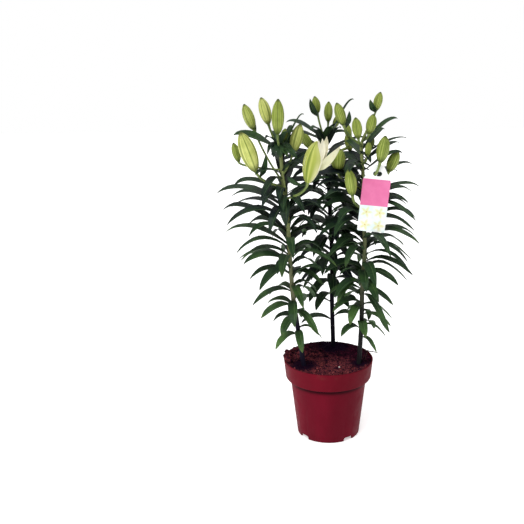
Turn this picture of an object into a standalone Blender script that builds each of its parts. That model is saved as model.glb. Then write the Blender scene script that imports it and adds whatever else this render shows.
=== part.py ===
"""A potted oriental lily: three leafy stems in bud, planted as bulbs in a round nursery pot.

Blender 4.5, metres, +Z up. The origin is the centre of the pot's underside, on the surface that the pot
stands on, and -Y is the front. Tables of sizes and places are in millimetres and degrees.
"""
import math
import random
from collections import namedtuple

import bpy
import numpy as np
from mathutils import Matrix, Vector
from mathutils.bvhtree import BVHTree

MM = 0.001
GAP = 0.3
SIDES = 32
UP = Vector((0.0, 0.0, 1.0))

# The pot: radius and height of each corner, down the outside and up the inside
POT_OUTSIDE = [(94.4, 168.0), (95.0, 167.2), (91.2, 131.0), (89.0, 127.8), (81.2, 126.6), (80.6, 123.0),
               (66.4, 1.2), (65.6, 0.0)]
POT_UNDERSIDE = [(63.6, 0.0), (63.9, 9.0), (25.0, 9.0), (21.0, 0.0), (0.0, 0.0)]
POT_INSIDE = [(0.0, 2.0), (19.4, 2.0), (23.4, 11.0), (65.2, 11.0), (78.4, 125.0), (87.8, 130.4),
              (93.0, 168.0)]
FOOT_NOTCHES = [-140.0, -50.0, 40.0, 130.0]
NOTCH_WIDTH = 24.0
NOTCH_HEIGHT = 8.4
DRAIN_HOLES = 6
DRAIN_RADIUS = 5.0
DRAIN_CIRCLE = 44.0
DRAIN_TURN = 0.37

# The compost: rings of its surface, and the clods that lie on it or hang over the rim
SOIL_LEVEL = 163.0
SOIL_RINGS = [84.0, 60.0, 30.0]
SOIL_SIDE = [(91.8, 163.0), (87.4, 130.8), (78.0, 125.4), (64.8, 11.4), (23.0, 11.4), (19.0, 2.4)]
BACK_MOUND = 5.0
CLODS = [(-83, 14, 168, 7), (-88.5, 15, 174.5, 6.2), (-83, -8, 168, 7), (-90, -7, 174.5, 6.3),
         (-81, -21, 168.5, 6.2), (-87.5, -19, 173.5, 5.6), (-80, 30, 168.5, 6.8), (-73, 45, 168, 6.2),
         (-46, 70, 167, 5.4), (-18, 80, 167, 5), (40, 74, 167, 5), (-28, -62, 163, 5), (26, -68, 163, 5),
         (44, -46, 163, 5)]
TWIG = [(79.0, 40.0, 169.0), (91.0, 32.0, 170.2), (108.0, 20.0, 171.2)]
TWIG_RADIUS = 1.0

# The stems: points on each axis from the compost up, read as a smooth run
STEMS = {
    "left": [(-52, -30, 165), (-65, -33, 261), (-72, -35, 315), (-77, -38, 389), (-80, -41, 461),
             (-84, -44, 522), (-90, -46, 571), (-92, -47, 605), (-94, -48, 630)],
    "middle": [(11, 72, 165), (8, 75, 277), (8, 77, 359), (6, 78, 418), (1, 81, 518), (-5, 83, 601),
               (-7, 84, 630)],
    "right": [(65, -17, 163), (69, -19, 256), (70, -22, 337), (74, -24, 415), (71, -26, 492),
              (69, -28, 566), (65, -30, 625), (69, -30, 645), (81, -31, 670), (90, -30, 690)],
}
STEM_SIDES = 6
STEM_RADIUS = ([80, 165, 300, 500, 620, 690], [4.8, 5.3, 5.1, 4.4, 3.6, 2.5])

# The bulbs, under the stems
BULB_RADIUS = 25.0
BULB_LENGTH = 54.0
BULB_BOTTOM = 28.0
BULB_CIRCLE = 38.0
BULB_SIDES = 10
BULB_OUTLINE = [(0.0, 0.45), (0.12, 0.82), (0.35, 1.0), (0.6, 0.84), (0.82, 0.52), (1.0, 0.3)]
POCKET_OUTLINE = [(0.0, 0.62), (0.2, 1.0), (0.45, 1.04), (0.7, 0.86), (1.0, 0.42)]
POCKET_SPARE = 0.5
HOLE_SIDES = 8
HOLE_SPARE = 0.9
HOLE_TOP = 200.0

# The buds: base, tip and radius, and the height at which the stalk leaves the stem
BUDS = {
    "left": {
        "far_left": ((-146, -25, 662), (-165, -22, 712), 11.0, 560),
        "tall": ((-116, -42, 675), (-130, -40, 727), 11.5, 622),
        "front": ((-97, -72, 660), (-95, -74, 728), 12.6, 626),
        "large": ((-140, -82, 590), (-167, -90, 668), 16.9, 550),
        "behind_large": ((-176, -46, 602), (-186, -44, 640), 8.3, 585),
        "right": ((-69, -40, 619), (-54, -34, 674), 12.7, 574),
        "small": ((-89, -34, 640), (-84, -26, 664), 7.0, 625),
    },
    "middle": {
        "left": ((-22, 76, 678), (-28, 72, 714), 8.7, 622),
        "top": ((0, 86, 659), (1, 86, 701), 9.2, 622),
        "small": ((12, 100, 644), (22, 104, 671), 7.3, 616),
        "low_left": ((-35, 46, 611), (-52, 42, 643), 10.0, 570),
        "right": ((44, 36, 632), (36, 32, 665), 7.6, 590),
        "low_right": ((45, 62, 602), (39, 60, 640), 9.2, 570),
    },
    "right": {
        "top": ((92, -28, 697), (101, -26, 733), 8.7, 684),
        "upper": ((78, -52, 656), (87, -50, 694), 10.1, 638),
        "front": ((58, -62, 649), (52, -64, 690), 10.1, 628),
        "far_left": ((30, -38, 671), (16, -40, 715), 10.6, 630),
        "outer": ((99, -78, 605), (109, -74, 656), 12.4, 552),
        "far_right": ((118, -40, 579), (136, -36, 620), 11.4, 536),
        "narrow": ((82, -8, 616), (87, -4, 645), 7.4, 590),
        "thin": ((76, -52, 614), (79, -54, 641), 6.8, 592),
        "broad": ((19, -22, 578), (21, -30, 625), 15.0, 540),
        "low": ((47, -78, 540), (39, -84, 594), 11.6, 500),
    },
}
BLOOM = ((-39, -92, 570), (-19, -88, 650), 18.5, 526)
# Tepals that have come away: four corners of the curve, the direction across the blade, and the width
BLOOM_TEPALS = [
    ((-28, -92, 596), (-12, -94, 596), (6, -95, 618), (24, -96, 641), (-0.7, 0.25, 0.7), 24.0),
    ((-26, -86, 604), (-10, -84, 612), (-3, -82, 638), (-3, -84, 657), (-0.9, 0.4, 0.1), 17.0),
    ((-26, -96, 604), (-14, -98, 616), (-9, -98, 638), (-11, -96, 655), (-0.9, -0.4, 0.1), 15.0),
]
STALK_SIDES = 6
STALK_RADIUS = 1.0
STALK_SHARE = 0.14

# Leaves read from the picture: height of the root, direction, reach, the tip's rise and, for some, a twist
LEAVES = {
    "left": [
        (230, 200, 52, -25), (240, 283, 44, -31), (265, 165, 52, -9), (266, 228, 44, -26),
        (284, 326, 59, -39), (295, 192, 71, -21), (297, 160, 69, -8), (306, 274, 50, -37),
        (327, 186, 84, -27), (328, 155, 68, -23), (338, 295, 58, -27), (361, 338, 70, 19),
        (364, 178, 87, -11), (368, 216, 77, -22), (376, 240, 50, 4), (390, 158, 120, -5),
        (391, 196, 98, 4), (400, 261, 82, -15), (406, 174, 103, -15), (406, 338, 103, -11),
        (421, 190, 109, -5), (428, 163, 140, 17), (434, 278, 84, -10), (447, 152, 106, 7),
        (451, 206, 87, 5), (458, 176, 134, 42), (472, 322, 76, -7), (482, 192, 124, -5),
        (489, 152, 135, 4), (500, 338, 82, 5), (504, 165, 120, 18), (518, 184, 139, 21),
        (524, 268, 66, -8), (536, 206, 109, 27), (538, 230, 61, -15), (562, 148, 58, 44),
        (566, 238, 74, -26), (574, 14, 74, 36, 30), (576, 190, 118, 33), (581, 320, 60, 22),
        (604, 24, 44, 72, -45), (612, 80, 60, 20), (620, 326, 40, -8), (624, 30, 48, 68, -45),
        (625, 186, 92, 31, -40), (627, 244, 36, 4), (629, 294, 32, 2),
    ],
    "middle": [
        (225, 184, 69, -6), (231, 352, 43, 8), (257, 349, 53, 22), (266, 190, 73, 7),
        (604, 302, 59, 50), (607, 241, 46, 40), (620, 0, 45, 14), (622, 30, 60, 52), (612, 318, 52, 42),
        (618, 200, 89, 16), (622, 176, 82, 36), (598, 110, 80, 20), (586, 60, 90, 10),
    ],
    "right": [
        (218, 334, 37, -24), (240, 204, 46, -10), (246, 6, 52, -24), (256, 281, 42, -18),
        (272, 352, 61, -21), (278, 24, 34, -28), (288, 236, 45, -24), (294, 14, 67, -36),
        (297, 186, 54, -8), (317, 330, 65, -71), (322, 356, 65, -26), (348, 296, 70, -25),
        (362, 342, 75, -17), (364, 316, 50, -24), (376, 24, 103, -42), (383, 286, 80, -22),
        (387, 2, 101, -29), (399, 178, 42, -12), (402, 332, 98, -17), (414, 12, 100, -28),
        (416, 348, 90, -21), (418, 34, 119, -19), (423, 205, 73, -14), (436, 30, 124, -10),
        (438, 352, 111, -8), (467, 16, 110, -23), (470, 344, 104, 18), (488, 22, 96, 11),
        (505, 350, 90, 10), (507, 28, 113, 16), (518, 2, 112, 26), (542, 340, 100, 44),
        (578, 352, 78, 39), (597, 32, 85, 30), (609, 10, 92, 31), (606, 120, 70, 20),
        (620, 33, 56, 36), (640, 2, 68, 41, 25),
    ],
}
# Bracts beside the buds: the bud, the place along its stalk, the tip and the width
BRACTS = {
    "left": [("far_left", 0.93, (-151, -6, 690), 11.0), ("bloom", 0.9, (-78, -98, 584), 18.0),
             ("large", 0.8, (-121, -72, 621), 16.0)],
    "middle": [("left", 0.92, (-37, 54, 712), 18.0)],
    "right": [("top", 0.88, (80, -48, 722), 17.0), ("far_left", 0.9, (41, -16, 696), 14.0)],
}

BRACT_SIDE = Vector((-1.0, 0.25, 0.0))

# The rest of the leaves follow a spiral up each stem, wherever no leaf above is near
SPIRAL_TURN = 137.5
SPIRAL_STEP = ([240, 400, 600], [11.0, 8.5, 7.5])
SPIRAL = {"left": (246, 585, 20.0), "middle": (276, 600, 95.0), "right": (250, 585, 60.0)}
NEAR_TURN = 36.0
NEAR_HEIGHT = 26.0
LEAF_REACH = ([200, 300, 400, 500, 600], [46, 68, 92, 112, 116])
LEAF_RISE = ([200, 330, 430, 540], [-28, -24, -8, 14])
ROOT_LIFT = ([200, 300, 370, 430, 480, 520, 600], [18, 18, 27, 38, 40, 30, 18])
TIP_LIFT = ([200, 300, 370, 430, 480, 520, 600], [15, 15, 21, 28, 28, 22, 12])
LEAF_WIDTH = ([200, 350, 500, 620], [22.5, 25.0, 26.0, 22.0])
FACING = 18.0
BLADE_THICKNESS = 1.5
BLADE_FOLD = 0.28
LONG_STATIONS = [0.0, 0.16, 0.38, 0.62, 0.84]
SHORT_STATIONS = [0.0, 0.26, 0.56, 0.84]
LONG_LEAF = 118.0
TURNS = [0, 5, -5, 10, -10, 16, -16, 23, -23, 31, -31, 40, -40]
LIFTS = [0, 10, -10, 20, -20, 32]

# The hanging label, in its own plane: half width, height to the shoulders, and the tapered top
LABEL_PLANE = -70.5
LABEL_TILT = 5.9
LABEL_HALF_WIDTH = 27.0
LABEL_SHOULDER = 104.0
LABEL_TOP = 134.0
LABEL_TOP_HALF_WIDTH = 10.0
LABEL_CORNER = 3.0
LABEL_THICKNESS = 0.8
SLOT_HEIGHT = 116.0
SLOT_HALF_LENGTH = 4.0
SLOT_RADIUS = 4.7
SLOT_HANG = (3.8, 0.3)

# How far a leaf keeps from what stands near it
LEAF_ROOM = 0.9


# Helpers

def material(name, colour, roughness):
    """A plain Principled BSDF material."""
    made = bpy.data.materials.new(name)
    made.use_nodes = True
    shader = made.node_tree.nodes["Principled BSDF"]
    shader.inputs["Base Color"].default_value = (*colour, 1.0)
    shader.inputs["Roughness"].default_value = roughness
    made.diffuse_color = (*colour, 1.0)
    return made


def mesh_object(name, points, faces, finish=None, smooth=35.0):
    """An object from points in millimetres, shaded smooth up to the given angle."""
    mesh = bpy.data.meshes.new(name)
    mesh.from_pydata([Vector(point) * MM for point in points], [], faces)
    mesh.validate()
    mesh.shade_smooth()
    mesh.set_sharp_from_angle(angle=math.radians(smooth))
    made = bpy.data.objects.new(name, mesh)
    bpy.context.scene.collection.objects.link(made)
    if finish:
        made.data.materials.append(finish)
    return made


def apply_boolean(target, operation, operand, as_collection=False, smooth=35.0):
    """Joins or cuts the target once, marks its edges again, and removes what it was joined to or cut by."""
    boolean = target.modifiers.new("join", "BOOLEAN")
    boolean.operation = operation
    boolean.solver = "EXACT"
    if as_collection:
        boolean.operand_type = "COLLECTION"
        boolean.collection = operand
    else:
        boolean.object = operand
    bpy.context.view_layer.objects.active = target
    bpy.ops.object.modifier_apply(modifier=boolean.name)
    target.data.set_sharp_from_angle(angle=math.radians(smooth))
    used = list(operand.objects) if as_collection else [operand]
    for extra in used:
        bpy.data.objects.remove(extra)
    if as_collection:
        bpy.data.collections.remove(operand)


def gather(name, objects):
    """Moves objects into a collection of their own, for one union."""
    group = bpy.data.collections.new(name)
    bpy.context.scene.collection.children.link(group)
    for one in objects:
        for holder in list(one.users_collection):
            holder.objects.unlink(one)
        group.objects.link(one)
    return group


def smooth_run(points, steps):
    """Points on a Catmull-Rom curve through the given ones."""
    knots = [Vector(point) for point in points]
    knots = [2 * knots[0] - knots[1]] + knots + [2 * knots[-1] - knots[-2]]
    run = []
    for k in range(1, len(knots) - 2):
        a, b, c, d = knots[k - 1:k + 3]
        for s in range(steps):
            t = s / steps
            run.append(0.5 * (2 * b + (c - a) * t + (2 * a - 5 * b + 4 * c - d) * t ** 2
                              + (3 * b - a - 3 * c + d) * t ** 3))
    run.append(knots[-2])
    return run


def bezier(corners, t):
    """A point on the cubic with four corners."""
    a, b, c, d = corners
    s = 1.0 - t
    return a * s ** 3 + b * 3 * s * s * t + c * 3 * s * t * t + d * t ** 3


def ring_faces(rings, sides):
    """Faces between rings of point numbers, where a ring of one number is a pole."""
    faces = []
    for lower, upper in zip(rings, rings[1:]):
        for s in range(sides):
            n = (s + 1) % sides
            below = [lower[s % len(lower)], lower[n % len(lower)]]
            over = [upper[n % len(upper)], upper[s % len(upper)]]
            faces.append(tuple(dict.fromkeys(below + over)))
    if len(rings[0]) > 1:
        faces.append(tuple(reversed(rings[0])))
    if len(rings[-1]) > 1:
        faces.append(tuple(rings[-1]))
    return faces


def ring_solid(rings):
    """Points and faces of a closed solid from rings of places along it."""
    sides = max(len(ring) for ring in rings)
    points = []
    numbers = []
    for ring in rings:
        numbers.append(list(range(len(points), len(points) + len(ring))))
        points.extend(ring)
    return points, ring_faces(numbers, sides)


def circle(radius, height, sides=SIDES):
    """A level ring of points about the vertical axis, or the one point on it."""
    if radius == 0.0:
        return [Vector((0.0, 0.0, height))]
    turns = [2 * math.pi * s / sides for s in range(sides)]
    return [Vector((radius * math.cos(turn), radius * math.sin(turn), height)) for turn in turns]


def tube(path, radii, sides, first=None, last=None):
    """Points and faces of a closed round rod, with its ends square to the first and last axes."""
    rings = []
    side = Vector((1.0, 0.0, 0.0))
    for k, centre in enumerate(path):
        ahead = (path[min(k + 1, len(path) - 1)] - path[max(k - 1, 0)]).normalized()
        if k == 0 and first:
            ahead = first
        if k == len(path) - 1 and last:
            ahead = last
        side = (side - ahead * side.dot(ahead)).normalized()
        other = ahead.cross(side)
        turns = [2 * math.pi * s / sides for s in range(sides)]
        rings.append([centre + (side * math.cos(a) + other * math.sin(a)) * radii[k] for a in turns])
    return ring_solid(rings)


# The pot, turned from its outline and then cut

def make_pot(finish):
    outline = POT_UNDERSIDE[::-1] + POT_OUTSIDE[::-1] + POT_INSIDE[::-1]
    pot = mesh_object("pot", *ring_solid([circle(*corner) for corner in outline]), finish)
    for angle in FOOT_NOTCHES:
        turned = Matrix.Rotation(math.radians(angle - 90.0), 4, "Z")
        place = turned @ Matrix.Translation((66.0, 0.0, 0.0))
        cutter = mesh_object("notch", *block(8.0, NOTCH_WIDTH, 2 * NOTCH_HEIGHT, place))
        apply_boolean(pot, "DIFFERENCE", cutter)
    for hole in range(DRAIN_HOLES):
        around = 2 * math.pi * hole / DRAIN_HOLES + DRAIN_TURN
        centre = Vector((math.cos(around), math.sin(around), 0.0)) * DRAIN_CIRCLE
        path = [centre + UP * 5.0, centre + UP * 15.0]
        cutter = mesh_object("drain", *tube(path, [DRAIN_RADIUS] * 2, 8))
        apply_boolean(pot, "DIFFERENCE", cutter)
    return pot


def block(length, width, height, place):
    """Points and faces of a box about a place."""
    ends = []
    for z in (-height / 2, height / 2):
        corners = [(length / 2, width / 2), (-length / 2, width / 2), (-length / 2, -width / 2),
                   (length / 2, -width / 2)]
        ends.append([place @ Vector((x, y, z)) for x, y in corners])
    return ring_solid(ends)


# The compost, with a pocket for each bulb and a plain hole for each stem

def soil_height(x, y):
    """The heaped surface, higher at the back, with low waves."""
    waves = 1.3 * math.sin(x / 9.0 + 1.0) * math.cos(y / 11.0) + 0.9 * math.sin(x / 5.3 - y / 6.1)
    return SOIL_LEVEL + waves + BACK_MOUND * max(0.0, (y - 0.35 * x) / 90.0)


def make_soil(finish, cutters):
    rng = random.Random(5)
    rings = [circle(0.0, SOIL_SIDE[-1][1])]
    rings += [circle(*corner) for corner in SOIL_SIDE[::-1]]
    for radius in SOIL_RINGS:
        ring = circle(radius, 0.0)
        for point in ring:
            point.z = soil_height(point.x, point.y) + rng.uniform(-0.9, 0.9)
        rings.append(ring)
    rings.append([Vector((0.0, 0.0, soil_height(0.0, 0.0)))])
    soil = mesh_object("soil", *ring_solid(rings), finish, 60.0)
    clods = []
    for x, y, z, radius in CLODS:
        bpy.ops.mesh.primitive_ico_sphere_add(subdivisions=1, radius=radius * MM)
        clod = bpy.context.object
        for vertex in clod.data.vertices:
            vertex.co *= rng.uniform(0.88, 1.0)
        clod.data.transform(Matrix.Translation(Vector((x, y, z)) * MM))
        clods.append(clod)
    apply_boolean(soil, "UNION", gather("clods", clods), as_collection=True, smooth=60.0)
    for cutter in cutters:
        apply_boolean(soil, "DIFFERENCE", cutter, smooth=60.0)
    return soil


# The bulbs, whose scales stand out in rows

def bulb_centre(plant):
    x, y, _ = STEMS[plant][0]
    away = Vector((x, y, 0.0)).normalized()
    return away * BULB_CIRCLE + UP * BULB_BOTTOM


def bulb_solid(plant):
    """Rings of a bulb, whose scales stand out in turn from row to row."""
    centre = bulb_centre(plant)
    rings = []
    for row, (share, part) in enumerate(BULB_OUTLINE):
        ring = circle(1.0, 0.0, BULB_SIDES)
        for s, point in enumerate(ring):
            scale = 0.9 if (s + row) % 3 else 1.0
            point *= BULB_RADIUS * part * scale
            point.z = share * BULB_LENGTH
            point += centre
        rings.append(ring)
    return ring_solid(rings)


def pocket_solid(plant):
    """The space that a bulb takes in the compost, wider than the bulb all over."""
    rings = []
    for share, part in POCKET_OUTLINE:
        height = share * BULB_LENGTH + (2 * share - 1) * POCKET_SPARE
        ring = circle(BULB_RADIUS * part + POCKET_SPARE, height, BULB_SIDES)
        rings.append([bulb_centre(plant) + point for point in ring])
    return ring_solid(rings)


# The stems, and the stalks that carry the buds

def stem_run(plant):
    """The stem's axis from just above its bulb to its top."""
    start = bulb_centre(plant) + UP * (BULB_LENGTH + GAP)
    return [start] + smooth_run(STEMS[plant], 1)


def stem_point(plant, height):
    run = smooth_run(STEMS[plant], 8)
    for low, high in zip(run, run[1:]):
        if low.z <= height <= high.z:
            return low.lerp(high, (height - low.z) / (high.z - low.z))
    return run[-1]


def stem_radius(height):
    return float(np.interp(height, *STEM_RADIUS))


def hole_solid(plant):
    """The plain hole that a stem stands in, from inside the bulb's pocket to over the compost."""
    path = [point for point in stem_run(plant) if point.z < HOLE_TOP]
    path = [path[0] - UP * 4.0] + path + [stem_point(plant, HOLE_TOP)]
    return tube(path, [stem_radius(point.z) + HOLE_SPARE for point in path], HOLE_SIDES, UP)


def stalk_corners(plant, base, tip, height):
    """The corners of the curve from the stem to just under a bud."""
    axis = (Vector(tip) - Vector(base)).normalized()
    start = stem_point(plant, height)
    end = Vector(base) - axis * GAP
    span = end - start
    pull = min(span.length * 0.4, abs(span.z) * 0.6)
    return [start, start + span * 0.35 - UP * span.z * 0.1, end - axis * pull, end]


def stalk_path(corners):
    return [bezier(corners, k / 4) for k in range(5)]


def stalk_solid(corners, radius):
    radii = [radius * swell for swell in (1.0, 1.0, 1.0, 1.05, 1.35)]
    end = (corners[3] - corners[2]).normalized()
    return tube(stalk_path(corners), radii, STALK_SIDES, None, end)


# The buds: three keeled outer tepals, closed to a blunt point

BUD_OUTLINE = [(0.0, 0.3), (0.11, 0.64), (0.32, 0.93), (0.55, 1.0), (0.78, 0.79), (0.93, 0.4)]
SMALL_BUD_OUTLINE = [(0.0, 0.34), (0.16, 0.74), (0.5, 1.0), (0.79, 0.76), (0.94, 0.38)]
SMALL_BUD = 10.5
BUD_SIDES = 9


def bud_solid(base, tip, radius, turn):
    """Rings of a bud; the three ridges stand at even turns about its axis."""
    start = Vector(base)
    axis = Vector(tip) - start
    side = axis.cross(Vector((0.0, 1.0, 0.0))).normalized()
    other = axis.normalized().cross(side)
    rings = []
    for share, part in SMALL_BUD_OUTLINE if radius < SMALL_BUD else BUD_OUTLINE:
        ring = []
        for s in range(BUD_SIDES):
            angle = 2 * math.pi * s / BUD_SIDES
            reach = radius * part * (1.0 + 0.07 * math.cos(3 * angle)) / 1.07
            arm = side * math.cos(angle + turn) + other * math.sin(angle + turn)
            ring.append(start + axis * share + arm * reach)
        rings.append(ring)
    rings.append([Vector(tip)])
    return ring_solid(rings)


# The leaves: thin folded blades on one curve each

Leaf = namedtuple("Leaf", "root azimuth reach rise near far width twist side")


def outward(azimuth):
    return Vector((math.cos(math.radians(azimuth)), math.sin(math.radians(azimuth)), 0.0))


def leaf_corners(leaf):
    out = outward(leaf.azimuth)
    near = leaf.root + out * leaf.reach * leaf.near[0] + UP * leaf.near[1]
    far = leaf.root + out * leaf.reach * leaf.far[0] + UP * leaf.far[1]
    return [leaf.root, near, far, leaf.root + out * leaf.reach + UP * leaf.rise]


def blade_width(t):
    """The width along a lance-shaped blade, as a part of its widest."""
    if t < 0.42:
        part = t / 0.42
        return 0.28 + 0.72 * part * part * (3 - 2 * part)
    return 1.0 - ((t - 0.42) / 0.58) ** 2.2


def blade_solid(corners, side, width, twist, spare=0.0, start=0.0):
    """A folded blade; its faces are split alike above and below, so they can't cross."""
    stations = LONG_STATIONS if (corners[3] - corners[0]).length > LONG_LEAF else SHORT_STATIONS
    points = []
    faces = []
    for t in stations:
        t = max(t, start)
        ahead = (bezier(corners, min(t + 0.02, 1.0)) - bezier(corners, max(t - 0.02, 0.0))).normalized()
        across = (side - ahead * side.dot(ahead)).normalized()
        across = Matrix.Rotation(math.radians(twist) * t ** 0.6, 3, ahead) @ across
        above = ahead.cross(across)
        centre = bezier(corners, t)
        half = width * blade_width(t) / 2 + spare
        thick = BLADE_THICKNESS / 2 + spare
        edge = above * half * BLADE_FOLD
        points += [centre + across * half + edge, centre + above * thick,
                   centre - across * half + edge, centre - above * thick]
    last = len(points)
    points.append(corners[3] + (corners[3] - corners[2]).normalized() * spare)
    for k in range(0, last - 4, 4):
        left, top, right, under = range(k, k + 4)
        far_left, far_top, far_right, far_under = range(k + 4, k + 8)
        faces += [(left, top, far_top), (left, far_top, far_left), (top, right, far_top),
                  (right, far_right, far_top), (right, under, far_under), (right, far_under, far_right),
                  (under, left, far_under), (left, far_left, far_under)]
    left, top, right, under = range(last - 4, last)
    faces += [(left, top, last), (top, right, last), (right, under, last), (under, left, last)]
    faces += [(0, 3, 1), (1, 3, 2)]
    return points, faces


def leaf_solid(leaf, spare=0.0, start=0.0):
    side = leaf.side or UP.cross(outward(leaf.azimuth))
    return blade_solid(leaf_corners(leaf), side, leaf.width, leaf.twist, spare, start)


def root_share(leaf):
    """The first part of a leaf, which lies in its stem and needs no room of its own."""
    return max(0.12, 9.0 / max(leaf.reach, abs(leaf.rise)))


def stem_leaf(plant, height, azimuth, reach, rise, rng, turned=0.0):
    """A leaf on a stem, arched the way leaves at that height are, its face a little to the front."""
    lift = float(np.interp(height, *ROOT_LIFT)) * rng.uniform(0.9, 1.1)
    tip_lift = float(np.interp(height, *TIP_LIFT)) * rng.uniform(0.85, 1.1)
    width = float(np.interp(height, *LEAF_WIDTH)) * rng.uniform(0.9, 1.08)
    root = stem_point(plant, height)
    twist = turned + FACING * math.cos(math.radians(azimuth)) + rng.uniform(-15, 15)
    return Leaf(root, azimuth, reach, rise, (0.38, lift), (0.78, rise + tip_lift), width, twist, None)


def spiral_leaves(plant, rng):
    """Leaves on a spiral up the stem, but for those that a measured leaf stands near."""
    low, high, azimuth = SPIRAL[plant]
    leaves = []
    height = low
    while height < high:
        turn = azimuth % 360.0 + rng.uniform(-9, 9)
        reach = float(np.interp(height, *LEAF_REACH)) * rng.uniform(0.88, 1.06)
        rise = float(np.interp(height, *LEAF_RISE)) + rng.uniform(-8, 8)
        leaf = stem_leaf(plant, height, turn, reach, rise, rng)
        beside = [row for row in LEAVES[plant] if abs(row[0] - height) < NEAR_HEIGHT
                  and abs((row[1] - turn + 180) % 360 - 180) < NEAR_TURN]
        if not beside:
            leaves.append(leaf)
        height += float(np.interp(height, *SPIRAL_STEP))
        azimuth += SPIRAL_TURN
    return leaves


def bract(stalk, place, tip, width):
    """A narrow leaf that stands up beside a bud from a place on its stalk, with its face to the front."""
    root = bezier(stalk, place)
    span = Vector(tip) - root
    azimuth = math.degrees(math.atan2(span.y, span.x))
    reach = math.hypot(span.x, span.y)
    near = (0.55, span.z * 0.2)
    far = (0.95, span.z * 0.62)
    return Leaf(root, azimuth, reach, span.z, near, far, width, 0.0, BRACT_SIDE)


# Bending leaves clear of what stands near them

def tree(points, faces):
    return BVHTree.FromPolygons([tuple(point) for point in points], faces)


def span_box(points):
    low = [min(point[k] for point in points) for k in range(3)]
    high = [max(point[k] for point in points) for k in range(3)]
    return low, high


def boxes_meet(first, second):
    return all(first[0][k] <= second[1][k] and second[0][k] <= first[1][k] for k in range(3))


class Surroundings:
    """What a leaf has to stay clear of: solids, each with the plant that it belongs to."""

    def __init__(self):
        self.solids = []

    def add(self, owner, points, faces):
        self.solids.append((owner, span_box(points), tree(points, faces)))

    def clear(self, plant, leaf, own_leaves):
        points, faces = leaf_solid(leaf, LEAF_ROOM, root_share(leaf))
        box = span_box(points)
        shape = tree(points, faces)
        for owner, other_box, other in self.solids:
            if owner == plant and not own_leaves:
                continue
            if boxes_meet(box, other_box) and shape.overlap(other):
                return False
        return True


def bend_clear(surroundings, plant, leaf):
    """The nearest way for a leaf to lie that meets nothing, or none."""
    for own_leaves in (True, False):
        for shrink in (1.0, 0.9, 0.8, 0.65):
            for lift in LIFTS:
                for turn in TURNS:
                    bent = leaf._replace(azimuth=leaf.azimuth + turn, reach=leaf.reach * shrink,
                                         rise=leaf.rise * shrink + lift,
                                         far=(leaf.far[0], leaf.far[1] * shrink + lift))
                    if surroundings.clear(plant, bent, own_leaves):
                        return bent
    return None


# The label, hung on a bud's stalk by its slot

def label_place(stalk):
    """The point where the stalk runs through the label's plane."""
    path = stalk_path(stalk)
    for near, far in zip(path, path[1:]):
        if near.y >= LABEL_PLANE >= far.y:
            return near.lerp(far, (near.y - LABEL_PLANE) / (near.y - far.y))
    return path[-1]


def label_outline():
    """The outline up from the bottom edge, with round corners and a tapered top."""
    corners = []
    for across in (1, -1):
        for k in range(4):
            angle = math.radians(-90 + 30 * k) if across == 1 else math.radians(180 + 30 * k)
            corners.append((across * (LABEL_HALF_WIDTH - LABEL_CORNER) + LABEL_CORNER * math.cos(angle),
                            LABEL_CORNER + LABEL_CORNER * math.sin(angle)))
    right, left = corners[:4], corners[4:]
    top = [(LABEL_HALF_WIDTH, LABEL_SHOULDER), (LABEL_TOP_HALF_WIDTH, LABEL_TOP),
           (-LABEL_TOP_HALF_WIDTH, LABEL_TOP), (-LABEL_HALF_WIDTH, LABEL_SHOULDER)]
    return right + top + left


def slot_outline():
    outline = []
    for k in range(7):
        angle = math.radians(-90 + 30 * k)
        across = SLOT_HALF_LENGTH + SLOT_RADIUS * math.cos(angle)
        outline.append((across, SLOT_HEIGHT + SLOT_RADIUS * math.sin(angle)))
    return outline + [(-x, 2 * SLOT_HEIGHT - y) for x, y in outline]


def plate(outline, origin, depth):
    """Points and faces of a flat plate on the label's plane."""
    tilt = math.radians(LABEL_TILT)
    right = Vector((math.cos(tilt), 0.0, -math.sin(tilt)))
    rise = Vector((math.sin(tilt), 0.0, math.cos(tilt)))
    layers = []
    for y in (depth / 2, -depth / 2):
        layers.append([origin + right * u + rise * v + Vector((0.0, y, 0.0)) for u, v in outline])
    return ring_solid(layers)


def label_solids(stalk):
    """The label's plate, and the cutter of its slot, with the slot's top edge just over the stalk."""
    hung = label_place(stalk)
    tilt = math.radians(LABEL_TILT)
    right = Vector((math.cos(tilt), 0.0, -math.sin(tilt)))
    rise = Vector((math.sin(tilt), 0.0, math.cos(tilt)))
    slot = Vector((hung.x, LABEL_PLANE, hung.z)) + right * SLOT_HANG[0] - rise * SLOT_HANG[1]
    origin = slot - rise * SLOT_HEIGHT
    return plate(label_outline(), origin, LABEL_THICKNESS), plate(slot_outline(), origin, 6.0)


# The whole plant

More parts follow.
